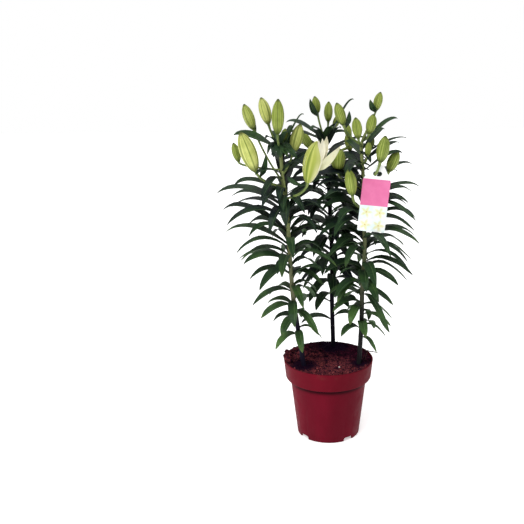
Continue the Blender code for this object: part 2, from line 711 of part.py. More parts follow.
def main():
    for old in list(bpy.data.objects):
        bpy.data.objects.remove(old)
    plastic = material("red_plastic", (0.17, 0.012, 0.018), 0.4)
    compost = material("compost", (0.05, 0.02, 0.014), 0.95)
    twig_bark = material("twig_bark", (0.12, 0.07, 0.05), 0.9)
    bulb_skin = material("bulb_scales", (0.62, 0.52, 0.36), 0.6)
    leaf_green = material("leaf_green", (0.02, 0.06, 0.018), 0.35)
    bud_green = material("bud_green", (0.28, 0.40, 0.06), 0.45)
    petal_white = material("petal_white", (0.66, 0.70, 0.36), 0.45)
    card = material("label_plastic", (0.80, 0.25, 0.45), 0.35)
    surroundings = Surroundings()

    make_pot(plastic)
    cutters = []
    for plant in STEMS:
        cutters.append(mesh_object("pocket", *pocket_solid(plant)))
        cutters.append(mesh_object("hole", *hole_solid(plant)))
        mesh_object("bulb_" + plant, *bulb_solid(plant), bulb_skin)
    make_soil(compost, cutters)
    mesh_object("twig", *tube([Vector(point) for point in TWIG], [TWIG_RADIUS] * 3, 6), twig_bark)

    pieces = {plant: [] for plant in STEMS}
    stalks = {}
    for number, plant in enumerate(STEMS):
        run = stem_run(plant)
        stem = tube(run, [stem_radius(point.z) for point in run], STEM_SIDES, UP)
        pieces[plant].append(stem)
        surroundings.add(plant, *stem)
        for turn, (name, (base, tip, radius, height)) in enumerate(BUDS[plant].items()):
            stalks[plant, name] = stalk_corners(plant, base, tip, height)
            stalk = stalk_solid(stalks[plant, name], STALK_RADIUS + STALK_SHARE * radius)
            bud = bud_solid(base, tip, radius, turn * 1.3 + number)
            pieces[plant].append(stalk)
            surroundings.add(plant, *stalk)
            surroundings.add("bud", *bud)
            mesh_object("bud_%s_%s" % (plant, name), *bud, bud_green, 50.0)
    make_bloom(pieces["left"], stalks, surroundings, petal_white)
    make_label(stalks["right", "outer"], surroundings, card)

    rng = random.Random(11)
    for plant in STEMS:
        for height, azimuth, reach, rise, *turned in LEAVES[plant]:
            leaf = stem_leaf(plant, height, azimuth, reach, rise, rng, *turned)
            place_leaf(surroundings, pieces, plant, leaf)
        for name, place, tip, width in BRACTS[plant]:
            place_leaf(surroundings, pieces, plant, bract(stalks[plant, name], place, tip, width))
    for plant in STEMS:
        for leaf in spiral_leaves(plant, rng):
            place_leaf(surroundings, pieces, plant, leaf)
    for plant in STEMS:
        name = "leafy_stem_" + plant
        stem, *rest = [mesh_object(name, *solid, leaf_green, 50.0) for solid in pieces[plant]]
        apply_boolean(stem, "UNION", gather("leaves", rest), as_collection=True, smooth=50.0)


def place_leaf(surroundings, pieces, plant, leaf):
    bent = bend_clear(surroundings, plant, leaf)
    if bent:
        pieces[plant].append(leaf_solid(bent))
        surroundings.add(plant, *leaf_solid(bent, 0.0, root_share(bent)))


def make_bloom(left_pieces, stalks, surroundings, finish):
    """The opening flower: its closed body, and the tepals that have come away from it."""
    base, tip, radius, height = BLOOM
    stalks["left", "bloom"] = stalk_corners("left", base, tip, height)
    stalk = stalk_solid(stalks["left", "bloom"], STALK_RADIUS + STALK_SHARE * radius)
    left_pieces.append(stalk)
    surroundings.add("left", *stalk)
    solids = [bud_solid(base, tip, radius, 0.5)]
    for root, near, far, end, side, width in BLOOM_TEPALS:
        corners = [Vector(corner) for corner in (root, near, far, end)]
        solids.append(blade_solid(corners, Vector(side), width, 0.0))
    for solid in solids:
        surroundings.add("bud", *solid)
    bloom, *tepals = [mesh_object("opening_bloom", *solid, finish, 50.0) for solid in solids]
    apply_boolean(bloom, "UNION", gather("tepals", tepals), as_collection=True, smooth=50.0)
    bloom.name = "opening_bloom"


def make_label(stalk, surroundings, finish):
    card, slot = label_solids(stalk)
    label = mesh_object("label", *card, finish)
    apply_boolean(label, "DIFFERENCE", mesh_object("slot", *slot))
    surroundings.add("label", *card)


main()
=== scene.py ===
# %% [markdown]
# This lesson dresses a potted oriental lily: three leafy stems in bud, in a round red nursery pot, with a
# plant label hung among the flowers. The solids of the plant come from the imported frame, in metres, standing
# at the origin with the front towards -Y. Every finer piece made here takes the place of one of them.

# %% Load the frame
import math
import random
from collections import namedtuple

import bpy
import numpy as np
from mathutils import Matrix, Vector, noise
from mathutils.kdtree import KDTree


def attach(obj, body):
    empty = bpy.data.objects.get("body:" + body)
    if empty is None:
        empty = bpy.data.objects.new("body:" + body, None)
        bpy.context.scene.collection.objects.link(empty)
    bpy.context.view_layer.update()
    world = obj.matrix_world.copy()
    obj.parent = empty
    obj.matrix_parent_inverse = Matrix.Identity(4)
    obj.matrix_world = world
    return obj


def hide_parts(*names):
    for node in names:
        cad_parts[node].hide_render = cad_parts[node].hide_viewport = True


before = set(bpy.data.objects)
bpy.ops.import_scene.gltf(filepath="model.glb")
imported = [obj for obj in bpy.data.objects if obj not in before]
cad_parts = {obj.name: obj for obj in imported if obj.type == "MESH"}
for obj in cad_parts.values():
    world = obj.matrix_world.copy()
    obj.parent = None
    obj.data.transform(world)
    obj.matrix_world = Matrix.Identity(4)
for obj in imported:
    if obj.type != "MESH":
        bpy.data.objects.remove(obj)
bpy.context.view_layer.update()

# %% [markdown]
# A few helpers keep the later cells short. Operators act on whatever is selected, so each helper first
# deselects everything. Places below are in millimetres and become metres only when they go into a mesh.

# %% Helpers for pieces
MM = 0.001
UP = Vector((0.0, 0.0, 1.0))


def select_only(*pieces):
    bpy.ops.object.select_all(action="DESELECT")
    for piece in pieces:
        piece.select_set(True)
    bpy.context.view_layer.objects.active = pieces[0]


def add_mesh(name, operator, **shape):
    """Adds one primitive, with nothing else selected, and names it."""
    bpy.ops.object.select_all(action="DESELECT")
    operator(**shape)
    piece = bpy.context.object
    piece.name = name
    return piece


def settle(piece):
    """Puts an object's place, turn and size into its mesh."""
    select_only(piece)
    bpy.ops.object.transform_apply(location=True, rotation=True, scale=True)


def apply_modifier(piece, kind, **settings):
    modifier = piece.modifiers.new(kind.lower(), kind)
    for name, value in settings.items():
        setattr(modifier, name, value)
    select_only(piece)
    bpy.ops.object.modifier_apply(modifier=modifier.name)


def smooth(piece, degrees):
    select_only(piece)
    bpy.ops.object.shade_smooth_by_angle(angle=math.radians(degrees))


def join(name, pieces):
    """Joins pieces into the first one."""
    select_only(*pieces)
    bpy.ops.object.join()
    pieces[0].name = name
    return pieces[0]


def face_outward():
    """Turns every face of the closed piece in edit mode outward, and leaves edit mode."""
    bpy.ops.mesh.select_all(action="SELECT")
    bpy.ops.mesh.normals_make_consistent(inside=False)
    bpy.ops.object.mode_set(mode="OBJECT")


def mark(piece, name, values):
    """Writes one number on each corner point of a piece, for its finish to read."""
    layer = piece.data.attributes.new(name, "FLOAT", "POINT")
    layer.data.foreach_set("value", [float(value) for value in values])


def set_tone(piece, tone):
    """Gives every corner of a piece that has the mark "tone" the same number."""
    piece.data.attributes["tone"].data.foreach_set("value", [tone] * len(piece.data.vertices))


def own_copy(blank, name):
    """A copy with a mesh of its own."""
    piece = blank.copy()
    piece.data = blank.data.copy()
    piece.name = name
    bpy.context.scene.collection.objects.link(piece)
    return piece


def dress(piece, finish, slot, *nodes):
    """Gives a finished piece its material and its body, and hides the frame's nodes that it stands for."""
    piece.data.materials.clear()
    piece.data.materials.append(finish)
    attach(piece, "root")
    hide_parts(*nodes)
    print(piece.name, len(piece.data.polygons), "faces")


# %% [markdown]
# Finishes are node graphs. A small class adds one node at a time, and builds the colour up in layers: a
# ground first, then colours laid over it or multiplied into it, so that a finish reads from top to bottom.
# Colours are written as the eye reads them, from 0 to 255, and turned into the renderer's linear values.

# %% Helpers for finishes
def seen(red, green, blue):
    """The linear colour of one that is read by eye."""
    shares = [value / 255 for value in (red, green, blue)]
    linear = [s / 12.92 if s <= 0.04045 else ((s + 0.055) / 1.055) ** 2.4 for s in shares]
    return (*linear, 1.0)


class Finish:
    """A material in the making. A method gives back what its node gives, or lays it over the colour."""

    def __init__(self, name, roughness, specular=0.5):
        self.material = bpy.data.materials.new(name)
        self.material.use_nodes = True
        self.tree = self.material.node_tree
        self.shader = self.tree.nodes["Principled BSDF"]
        self.shader.inputs["Roughness"].default_value = roughness
        self.shader.inputs["Specular IOR Level"].default_value = specular
        self.colour = None

    def add(self, kind, output, inputs, **settings):
        node = self.tree.nodes.new(kind)
        for name, value in settings.items():
            setattr(node, name, value)
        for name, value in inputs.items():
            if isinstance(value, bpy.types.NodeSocket):
                self.tree.links.new(value, node.inputs[name])
            else:
                node.inputs[name].default_value = value
        return node.outputs[output]

    def place(self, stretch=(1.0, 1.0, 1.0)):
        """Object coordinates, stretched along each axis."""
        spot = self.add("ShaderNodeTexCoord", "Object", {})
        return self.add("ShaderNodeMapping", "Vector", {"Vector": spot, "Scale": stretch})

    def mark(self, name):
        return self.add("ShaderNodeAttribute", "Fac", {}, attribute_name=name)

    def axis(self, name):
        """How far each point is along X, Y or Z."""
        return self.add("ShaderNodeSeparateXYZ", name, {"Vector": self.place()})

    def noise(self, scale, stretch=(1.0, 1.0, 1.0), detail=3.0, rough=0.55):
        inputs = {"Vector": self.place(stretch), "Scale": scale, "Detail": detail, "Roughness": rough}
        return self.add("ShaderNodeTexNoise", "Fac", inputs)

    def cells(self, scale, stretch=(1.0, 1.0, 1.0)):
        return self.add("ShaderNodeTexVoronoi", "Distance", {"Vector": self.place(stretch), "Scale": scale})

    def streaks(self, across, along, scale):
        """Noise drawn out along a blade or a petal, read from its own marks."""
        spot = self.add("ShaderNodeCombineXYZ", "Vector", {"X": self.times(across, scale), "Y": along})
        return self.add("ShaderNodeTexNoise", "Fac", {"Vector": spot, "Scale": 1.0, "Detail": 2.0})

    def maths(self, operation, first, second=0.0):
        node = self.tree.nodes.new("ShaderNodeMath")
        node.operation = operation
        for socket, value in zip(node.inputs, (first, second)):
            if isinstance(value, bpy.types.NodeSocket):
                self.tree.links.new(value, socket)
            else:
                socket.default_value = value
        return node.outputs["Value"]

    def times(self, first, second):
        return self.maths("MULTIPLY", first, second)

    def plus(self, first, second):
        return self.maths("ADD", first, second)

    def wave(self, value, count):
        """A sine with so many waves from 0 to 1."""
        return self.maths("SINE", self.times(value, 2 * math.pi * count))

    def spread(self, value, low, high, new_low=0.0, new_high=1.0):
        """A number moved from one range to another, smoothly and never past its ends."""
        inputs = {"Value": value, "From Min": low, "From Max": high, "To Min": new_low, "To Max": new_high}
        return self.add("ShaderNodeMapRange", "Result", inputs, interpolation_type="SMOOTHSTEP")

    def ragged(self, value, noise, reach):
        """A number pushed up and down by noise, so that what it bounds has no clean edge."""
        return self.plus(value, self.spread(noise, 0.2, 0.8, -reach, reach))

    def mix(self, share, first, second, **settings):
        inputs = {"Fac": share, "Color1": first, "Color2": second}
        return self.add("ShaderNodeMixRGB", "Color", inputs, **settings)

    def share(self, value, limits):
        """How much of a layer shows: a value as it is, or spread where limits are given."""
        return self.spread(value, *limits) if limits else value

    def two_tone(self, first, second, value, *limits):
        """Two colours mixed by a value."""
        return self.mix(self.share(value, limits), seen(*first), seen(*second))

    def over(self, colour, value, *limits):
        """Lays a colour over what is there."""
        self.colour = self.mix(self.share(value, limits), self.colour, seen(*colour))

    def shade(self, tint, value, *limits):
        """Multiplies what is there by a tint."""
        self.colour = self.mix(self.share(value, limits), self.colour, seen(*tint), blend_type="MULTIPLY")

    def bump(self, heights, depth, below=None):
        inputs = {"Height": heights, "Distance": depth * MM, "Strength": 1.0}
        if below:
            inputs["Normal"] = below
        return self.add("ShaderNodeBump", "Normal", inputs)

    def done(self, normal, roughness=None):
        """Joins what was made to the shader."""
        for name, value in (("Base Color", self.colour), ("Roughness", roughness), ("Normal", normal)):
            if value is not None:
                self.tree.links.new(value, self.shader.inputs[name])
        return self.material


# %% [markdown]
# The pot is thin moulded plastic: a tapered body, a deep collar that the rim stands on, a foot ring with
# notches for the water to run out, and holes in a raised floor. It could be turned with a spin of its
# outline. Here one ring is extruded from corner to corner of the outline instead, which is how a maker would
# raise it by hand, and closes without a seam.

# %% Raise the pot
POT_UNDERSIDE = [(21.0, 0.0), (25.0, 9.0), (63.9, 9.0), (63.6, 0.0)]
POT_OUTSIDE = [(65.6, 0.0), (66.4, 1.2), (80.6, 123.0), (81.2, 126.4), (82.4, 127.0), (87.6, 127.4),
               (89.6, 128.4), (90.8, 130.4), (94.6, 166.0), (94.9, 167.0), (94.6, 167.8), (94.0, 168.0)]
POT_INSIDE = [(93.2, 168.0), (92.6, 167.4), (87.8, 130.4), (78.4, 125.0), (65.2, 11.0), (23.4, 11.0),
              (19.4, 2.0)]
POT_SIDES = 128
NOTCH_TURNS = [-140.0, -50.0, 40.0, 130.0]
NOTCH_CIRCLE = 66.0
NOTCH_SIZE = (8.0, 24.0, 16.8)
DRAIN_HOLES = 6
DRAIN_TURN = 0.37
DRAIN_CIRCLE = 44.0
DRAIN_RADIUS = 5.0
DRAIN_DEPTH = 6.0
DRAIN_HEIGHT = 10.0


def raise_ring(outline):
    """Extrudes what is selected from corner to corner of an outline of radius and height."""
    for (radius, height), (next_radius, next_height) in zip(outline, outline[1:]):
        step = (0.0, 0.0, (next_height - height) * MM)
        bpy.ops.mesh.extrude_region_move(TRANSFORM_OT_translate={"value": step})
        size = next_radius / radius
        bpy.ops.transform.resize(value=(size, size, 1.0), center_override=(0.0, 0.0, 0.0))


def turned_piece(name, outline, sides):
    """A closed round piece, raised from a disc."""
    radius, height = outline[0]
    piece = add_mesh(name, bpy.ops.mesh.primitive_circle_add, vertices=sides, radius=radius * MM,
                     fill_type="NGON", location=(0.0, 0.0, height * MM))
    settle(piece)
    bpy.ops.object.mode_set(mode="EDIT")
    bpy.ops.mesh.select_all(action="SELECT")
    raise_ring(outline)
    face_outward()
    return piece


def cut(piece, cutter):
    settle(cutter)
    apply_modifier(piece, "BOOLEAN", operation="DIFFERENCE", solver="EXACT", object=cutter)
    bpy.data.objects.remove(cutter)


def on_circle(radius, turn, height):
    """A place in metres, from a circle's radius and height in millimetres."""
    return (radius * MM * math.cos(turn), radius * MM * math.sin(turn), height * MM)


pot = turned_piece("nursery_pot", POT_UNDERSIDE + POT_OUTSIDE + POT_INSIDE, POT_SIDES)
for angle in NOTCH_TURNS:
    turn = math.radians(angle)
    notch = add_mesh("notch", bpy.ops.mesh.primitive_cube_add, size=1.0, rotation=(0.0, 0.0, turn),
                     location=on_circle(NOTCH_CIRCLE, turn, 0.0), scale=[side * MM for side in NOTCH_SIZE])
    apply_modifier(notch, "BEVEL", width=0.1, segments=4)
    cut(pot, notch)
for hole in range(DRAIN_HOLES):
    turn = 2 * math.pi * hole / DRAIN_HOLES + DRAIN_TURN
    cut(pot, add_mesh("drain", bpy.ops.mesh.primitive_cylinder_add, vertices=24, radius=DRAIN_RADIUS * MM,
                      depth=DRAIN_DEPTH * MM, location=on_circle(DRAIN_CIRCLE, turn, DRAIN_HEIGHT)))
smooth(pot, 32.0)
print("pot:", len(pot.data.vertices), "points")

# %% [markdown]
# The real plastic is a satin brick red. The collar looks a little brighter than the body, and the dark line
# that it throws on the body is a painted shadow. The wall has a fine orange-peel skin, and compost leaves a
# dusty film under the rim, which is thick at the back, where the rim is also darkened as painted shade. A
# painted image would need a seam and look coarse from near by. Instead, each of these is one layer, driven by
# height or by noise on Object coordinates.

# %% Pot finish
def pot_finish():
    finish = Finish("pot_plastic", 0.6, 0.04)
    height = finish.axis("Z")
    finish.colour = finish.two_tone((110, 13, 34), (108, 12, 31), height, 0.126, 0.131)
    finish.shade((190, 175, 185), finish.noise(9.0, (1.0, 1.0, 0.35), 4.0), 0.35, 0.7, 0.0, 0.7)
    # Painted shadow: the body darkens in a band just under the collar's overhang.
    painted_collar_shadow = finish.times(finish.spread(height, 0.1130, 0.1235),
                                finish.spread(height, 0.127, 0.1295, 1.0, 0.0))
    finish.over((30, 0, 8), finish.times(painted_collar_shadow, 0.92))
    dust = finish.noise(60.0, detail=6.0, rough=0.7)
    film = finish.times(finish.spread(height, 0.150, 0.169), finish.spread(dust, 0.52, 0.72, 0.0, 0.4))
    finish.over((96, 62, 52), film)
    # The back of the rim is darkened, partly as compost dirt and partly as painted shade.
    dust_and_shade_at_back = finish.times(finish.spread(finish.axis("Y"), 0.0, 0.05), finish.spread(height, 0.158, 0.166))
    finish.over((42, 15, 20), finish.times(dust_and_shade_at_back, 0.85))
    skin = finish.bump(finish.noise(420.0, detail=2.0), 0.05)
    scuffs = finish.bump(finish.noise(70.0, (1.0, 1.0, 6.0), 3.0), 0.06, skin)
    return finish.done(scuffs, finish.spread(dust, 0.3, 0.8, 0.46, 0.66))


dress(pot, pot_finish(), "red_plastic", "pot")

# %% [markdown]
# The compost is dark red-brown peat. Its surface is heaped a little at the back, crumbly, and wet and nearly
# black round the foot of each stem. A smooth displaced disc alone would look like cloth, so the bed gets its
# lumps from noise and is then covered with loose crumbs, as small as peat really breaks.

# %% Lay the compost
STEMS = {
    "left": [(-52, -30, 165), (-65, -33, 261), (-72, -35, 315), (-77, -38, 389), (-80, -41, 461),
             (-84, -44, 522), (-90, -46, 571), (-92, -47, 605), (-94, -48, 630)],
    "middle": [(11, 72, 165), (8, 75, 277), (8, 77, 359), (6, 78, 418), (1, 81, 518), (-5, 83, 601),
               (-7, 84, 630)],
    "right": [(65, -17, 163), (69, -19, 256), (70, -22, 337), (74, -24, 415), (71, -26, 492),
              (69, -28, 566), (65, -30, 625), (69, -30, 645), (81, -31, 670), (90, -30, 690)],
}
SOIL_RADIUS = 91.8
SOIL_SIDE = [(19.0, 2.4), (23.0, 11.4), (64.8, 11.4), (78.0, 125.4), (87.4, 130.8), (SOIL_RADIUS, 162.0)]
SOIL_LEVEL = 163.0
SOIL_SPAN = 91.2
CRUMBLY_RADIUS = 92.6
CRUMBLY_FADE = 4.0
BACK_MOUND = 5.0
SOIL_SIDES = 144
SOIL_RINGS = 44
CLODS = [(-83, 14, 168, 7), (-88.5, 15, 174.5, 6.2), (-83, -8, 168, 7), (-90, -7, 174.5, 6.3),
         (-81, -21, 168.5, 6.2), (-87.5, -19, 173.5, 5.6), (-80, 30, 168.5, 6.8), (-73, 45, 168, 6.2),
         (-46, 70, 167, 5.4), (-18, 80, 167, 5), (40, 74, 167, 5), (-28, -62, 163, 5), (26, -68, 163, 5),
         (44, -46, 163, 5)]


def soil_height(x, y):
    """The heaped surface, higher at the back, with low waves."""
    waves = 1.3 * math.sin(x / 9.0 + 1.0) * math.cos(y / 11.0) + 0.9 * math.sin(x / 5.3 - y / 6.1)
    return SOIL_LEVEL + waves + BACK_MOUND * max(0.0, (y - 0.35 * x) / 90.0)


def crumble(point, size, depth):
    """How far the peat stands out at a point, in lumps of a given size."""
    return depth * noise.fractal(Vector(point) / size, 1.0, 2.2, 4)


rings = [(SOIL_RADIUS - SOIL_SPAN * k / SOIL_RINGS, SOIL_LEVEL) for k in range(SOIL_RINGS + 1)]
bed = turned_piece("compost_bed", SOIL_SIDE + rings, SOIL_SIDES)
for corner in bed.data.vertices:
    x, y, z = corner.co / MM
    if z > SOIL_LEVEL - 0.5:
        edge = min(1.0, (CRUMBLY_RADIUS - math.hypot(x, y)) / CRUMBLY_FADE)
        corner.co.z = (soil_height(x, y) + edge * crumble((x, y, 0.0), 5.0, 1.5)) * MM
smooth(bed, 60.0)
print("compost:", len(bed.data.polygons), "faces")

# %% [markdown]
# Clods are rough balls of peat. Each starts as an icosphere, and noise pushes its corners in and out. The
# crumbs are the same shape with few faces, because there are many hundreds of them: one is made by hand and
# the rest are copies, each turned and sized by a seeded draw.

# %% Clods and crumbs
CRUMBS = 1600
RIM_CRUMBS = 220
BED_REACH = 91.0
RIM_HEIGHT = 168.0
RIM_BAND = (89.0, 94.0)
RIM_ARC = (45.0, 220.0)
SMALLEST_CRUMB = 0.7
CRUMB_SPAN = 2.1


def clod(name, x, y, z, radius):
    made = add_mesh(name, bpy.ops.mesh.primitive_ico_sphere_add, subdivisions=4, radius=radius * MM,
                    location=(x * MM, y * MM, z * MM))
    settle(made)
    centre = Vector((x, y, z)) * MM
    for corner in made.data.vertices:
        corner.co = centre + (corner.co - centre) * (0.92 + crumble(corner.co / MM, 3.2, 0.16))
    return made


def crumb_blank():
    blank = add_mesh("crumb", bpy.ops.mesh.primitive_ico_sphere_add, subdivisions=1, radius=1.0)
    for corner in blank.data.vertices:
        corner.co *= 0.85 + crumble(corner.co, 0.7, 0.3)
    mark(blank, "tone", [0.0] * len(blank.data.vertices))
    return blank


def bed_spot(rng):
    """A place anywhere on the bed."""
    reach = BED_REACH * math.sqrt(rng.random())
    turn = rng.uniform(0.0, 2 * math.pi)
    x, y = reach * math.cos(turn), reach * math.sin(turn)
    return x, y, soil_height(x, y) + rng.uniform(-0.2, 0.7)


def rim_spot(rng):
    """A place on the rim, at the back and on the left, where the pot was filled a little too full."""
    reach = rng.uniform(*RIM_BAND)
    turn = math.radians(rng.uniform(*RIM_ARC))
    return reach * math.cos(turn), reach * math.sin(turn), RIM_HEIGHT + rng.uniform(-0.4, 0.6)


def scatter_crumbs():
    """Crumbs strewn over the bed and the rim, most of them small."""
    rng = random.Random(3)
    blank = crumb_blank()
    crumbs = []
    for number in range(CRUMBS + RIM_CRUMBS):
        x, y, z = bed_spot(rng) if number < CRUMBS else rim_spot(rng)
        size = SMALLEST_CRUMB + CRUMB_SPAN * rng.random() ** 3
        spin = Matrix.Rotation(rng.uniform(0, 6.28), 4, Vector((rng.random(), rng.random(), 1.0)))
        flat = Matrix.Diagonal((size, size * rng.uniform(0.6, 1.0), size * rng.uniform(0.45, 0.8), 1.0))
        put = Matrix.Translation((x, y, z))
        one = own_copy(blank, "crumb")
        one.data.transform(Matrix.Scale(MM, 4) @ put @ spin @ flat)
        set_tone(one, rng.random())
        crumbs.append(one)
    bpy.data.objects.remove(blank)
    return join("compost_crumbs", crumbs)


clods = join("compost_clods", [clod("clod", *row) for row in CLODS])
smooth(clods, 60.0)
crumbs = scatter_crumbs()
print("crumbs:", CRUMBS + RIM_CRUMBS, "and clods:", len(CLODS))

# %% [markdown]
# Peat is many browns at once: dull red where it is dry, and nearly black where it is wet, in a ring round the
# foot of each stem. Towards the back and the right it is darkened further, as painted shade. The rings could
# be painted, but then they would stay behind when a stem is moved. As a distance from the foot, broken up
# with noise, they follow it.

# %% Compost finish
WET_REACH = {"left": 21.0, "middle": 24.0, "right": 10.0}


def soil_finish(name, by_crumb):
    finish = Finish(name, 0.95, 0.05)
    grain = finish.noise(430.0, detail=5.0, rough=0.75)
    lumps = finish.noise(110.0, detail=4.0)
    if by_crumb:
        finish.colour = finish.two_tone((24, 0, 34), (166, 84, 84), finish.mark("tone"), 0.25, 0.95)
        finish.over((54, 18, 30), grain, 0.3, 0.7, 0.0, 0.5)
    else:
        finish.colour = finish.two_tone((18, 0, 32), (154, 72, 70), grain, 0.4, 0.64)
        finish.over((30, 8, 22), lumps, 0.42, 0.66, 0.0, 0.85)
    # Painted shade: the bed and the crumbs darken towards the back and the right.
    back_right_shade = finish.plus(finish.axis("Y"), finish.times(finish.axis("X"), 0.5))
    finish.shade((118, 70, 150), finish.ragged(back_right_shade, lumps, 0.03), -0.02, 0.045, 0.0, 0.95)
    for plant, foot in STEMS.items():
        x, y, z = foot[0]
        wet = WET_REACH[plant]
        reach = finish.add("ShaderNodeVectorMath", "Value", {0: finish.place(), 1: (x * MM, y * MM, z * MM)},
                           operation="DISTANCE")
        finish.over((14, 2, 24), finish.ragged(reach, lumps, 0.009), wet * MM, (wet + 14.0) * MM, 0.92, 0.0)
    return finish.done(finish.bump(lumps, 1.2, finish.bump(grain, 0.9)))


peat = soil_finish("peat", False)
dress(bed, peat, "compost", "soil")
dress(clods, peat, "compost")
dress(crumbs, soil_finish("peat_crumb", True), "compost")

# %% [markdown]
# Stems, stalks and twigs are all round rods that bend. Instead of turning each ring by hand, one straight
# blank is extruded ring by ring, and every rod is a copy of it with its rings moved onto its own path. The
# ring that a corner belongs to is its station, and its place in the ring its spoke.

# %% Blanks, and how they are laid
Blank = namedtuple("Blank", "piece places")


def straight_blank(name, sides, steps, pointed=False):
    """A closed rod one unit wide each way, with the station and the spoke of each of its corners."""
    rod = add_mesh(name, bpy.ops.mesh.primitive_circle_add, vertices=sides, radius=1.0, fill_type="NGON")
    bpy.ops.object.mode_set(mode="EDIT")
    for _ in range(steps):
        bpy.ops.mesh.extrude_region_move(TRANSFORM_OT_translate={"value": (0.0, 0.0, 1.0)})
    if pointed:
        bpy.ops.mesh.merge(type="CENTER")
    face_outward()
    places = []
    for corner in rod.data.vertices:
        turn = math.atan2(corner.co.y, corner.co.x) / (2 * math.pi)
        places.append((round(corner.co.z), round(turn * sides) % sides))
    return Blank(rod, places)


def lay(blank, rings, name):
    """A copy of a blank, with each corner moved to its spoke of the ring at its station."""
    piece = own_copy(blank.piece, name)
    for corner, (station, spoke) in zip(piece.data.vertices, blank.places):
        ring = rings[station]
        corner.co = ring[spoke % len(ring)] * MM
    return piece


def smooth_run(points, steps):
    """Points on a smooth curve that runs through the given ones."""
    knots = [Vector(point) for point in points]
    knots = [2 * knots[0] - knots[1]] + knots + [2 * knots[-1] - knots[-2]]
    run = []
    for k in range(1, len(knots) - 2):
        a, b, c, d = knots[k - 1:k + 3]
        for s in range(steps):
            t = s / steps
            run.append(0.5 * (2 * b + (c - a) * t + (2 * a - 5 * b + 4 * c - d) * t ** 2
                              + (3 * b - a - 3 * c + d) * t ** 3))
    run.append(knots[-2])
    return run


def bezier(corners, t):
    """A point on the cubic with four corners."""
    a, b, c, d = corners
    s = 1.0 - t
    return a * s ** 3 + b * 3 * s * s * t + c * 3 * s * t * t + d * t ** 3


def heading(corners, t):
    """Which way a cubic runs at a place along it."""
    return (bezier(corners, min(t + 0.02, 1.0)) - bezier(corners, max(t - 0.02, 0.0))).normalized()


def square_to(side, ahead):
    """A side turned square to a heading."""
    return (side - ahead * side.dot(ahead)).normalized()


def round_rings(path, radii, sides):
    """Rings of a round rod about a path."""
    rings = []
    side = Vector((1.0, 0.0, 0.0))
    for k, centre in enumerate(path):
        ahead = (path[min(k + 1, len(path) - 1)] - path[max(k - 1, 0)]).normalized()
        side = square_to(side, ahead)
        other = ahead.cross(side)
        turns = [2 * math.pi * s / sides for s in range(sides)]
        rings.append([centre + (side * math.cos(a) + other * math.sin(a)) * radii[k] for a in turns])
    return rings


# %% [markdown]
# A lily's stem is round and stiff, thicker at the foot. Below it is stained purple-brown, further up
# grey-green, and pale green under the buds, where dropped leaves have left low scars. Each stalk leaves the
# stem at its own height and swells to a small cup under its bud. A curve with a round bevel would do for a
# plain rod, but a laid blank can swell ring by ring. A row of a bud holds its base, its tip, its widest
# radius, and the height where its stalk leaves the stem.

# %% Stems and stalks
STEM_RADIUS = ([80, 165, 300, 500, 620, 690], [4.8, 5.3, 5.1, 4.4, 3.6, 2.5])
STEM_SIDES = 14
STEM_STEPS = 110
STALK_SIDES = 10
STALK_STEPS = 16
STALK_RADIUS = 1.0
STALK_SHARE = 0.14
THICKEST_BUD = 10.0
BULB_TOP = 82.3
BULB_CIRCLE = 38.0

BUDS = {
    "left": {
        "far_left": ((-146, -25, 662), (-165, -22, 712), 11.0, 560),
        "tall": ((-116, -42, 675), (-130, -40, 727), 11.5, 622),
        "front": ((-97, -72, 660), (-95, -74, 728), 12.6, 626),
        "large": ((-140, -82, 590), (-167, -90, 668), 16.9, 550),
        "behind_large": ((-176, -46, 602), (-186, -44, 640), 8.3, 585),
        "right": ((-69, -40, 619), (-54, -34, 674), 12.7, 574),
        "small": ((-89, -34, 640), (-84, -26, 664), 7.0, 625),
    },
    "middle": {
        "left": ((-22, 76, 678), (-28, 72, 714), 8.7, 622),
        "top": ((0, 86, 659), (1, 86, 701), 9.2, 622),
        "small": ((12, 100, 644), (22, 104, 671), 7.3, 616),
        "low_left": ((-35, 46, 611), (-52, 42, 643), 10.0, 570),
        "right": ((44, 36, 632), (36, 32, 665), 7.6, 590),
        "low_right": ((45, 62, 602), (39, 60, 640), 9.2, 570),
    },
    "right": {
        "top": ((92, -28, 697), (101, -26, 733), 8.7, 684),
        "upper": ((78, -52, 656), (87, -50, 694), 10.1, 638),
        "front": ((58, -62, 649), (52, -64, 690), 10.1, 628),
        "far_left": ((30, -38, 671), (16, -40, 715), 10.6, 630),
        "outer": ((99, -78, 605), (109, -74, 656), 12.4, 552),
        "far_right": ((118, -40, 579), (136, -36, 620), 11.4, 536),
        "narrow": ((82, -8, 616), (87, -4, 645), 7.4, 590),
        "thin": ((76, -52, 614), (79, -54, 641), 6.8, 592),
        "broad": ((19, -22, 578), (21, -30, 625), 15.0, 540),
        "low": ((47, -78, 540), (39, -84, 594), 11.6, 500),
    },
}
BLOOM = ((-39, -92, 570), (-19, -88, 650), 18.5, 526)


def stem_point(plant, height):
    run = smooth_run(STEMS[plant], 8)
    for low, high in zip(run, run[1:]):
        if low.z <= height <= high.z:
            return low.lerp(high, (height - low.z) / (high.z - low.z))
    return run[-1]


def stem_foot(plant):
    """The top of the bulb that the stem grows from."""
    x, y, _ = STEMS[plant][0]
    return Vector((x, y, 0.0)).normalized() * BULB_CIRCLE + UP * BULB_TOP


def even_run(points, steps):
    """Points at even distances along a run."""
    lengths = np.cumsum([0.0] + [(b - a).length for a, b in zip(points, points[1:])])
    spots = np.linspace(0.0, lengths[-1], steps + 1)
    return [Vector([np.interp(spot, lengths, [p[k] for p in points]) for k in range(3)]) for spot in spots]


def stalk_corners(plant, base, tip, height):
    """The corners of the curve from the stem to just under a bud."""
    axis = (Vector(tip) - Vector(base)).normalized()
    start = stem_point(plant, height)
    end = Vector(base) - axis * 0.3
    span = end - start
    pull = min(span.length * 0.4, abs(span.z) * 0.6)
    return [start, start + span * 0.35 - UP * span.z * 0.1, end - axis * pull, end]


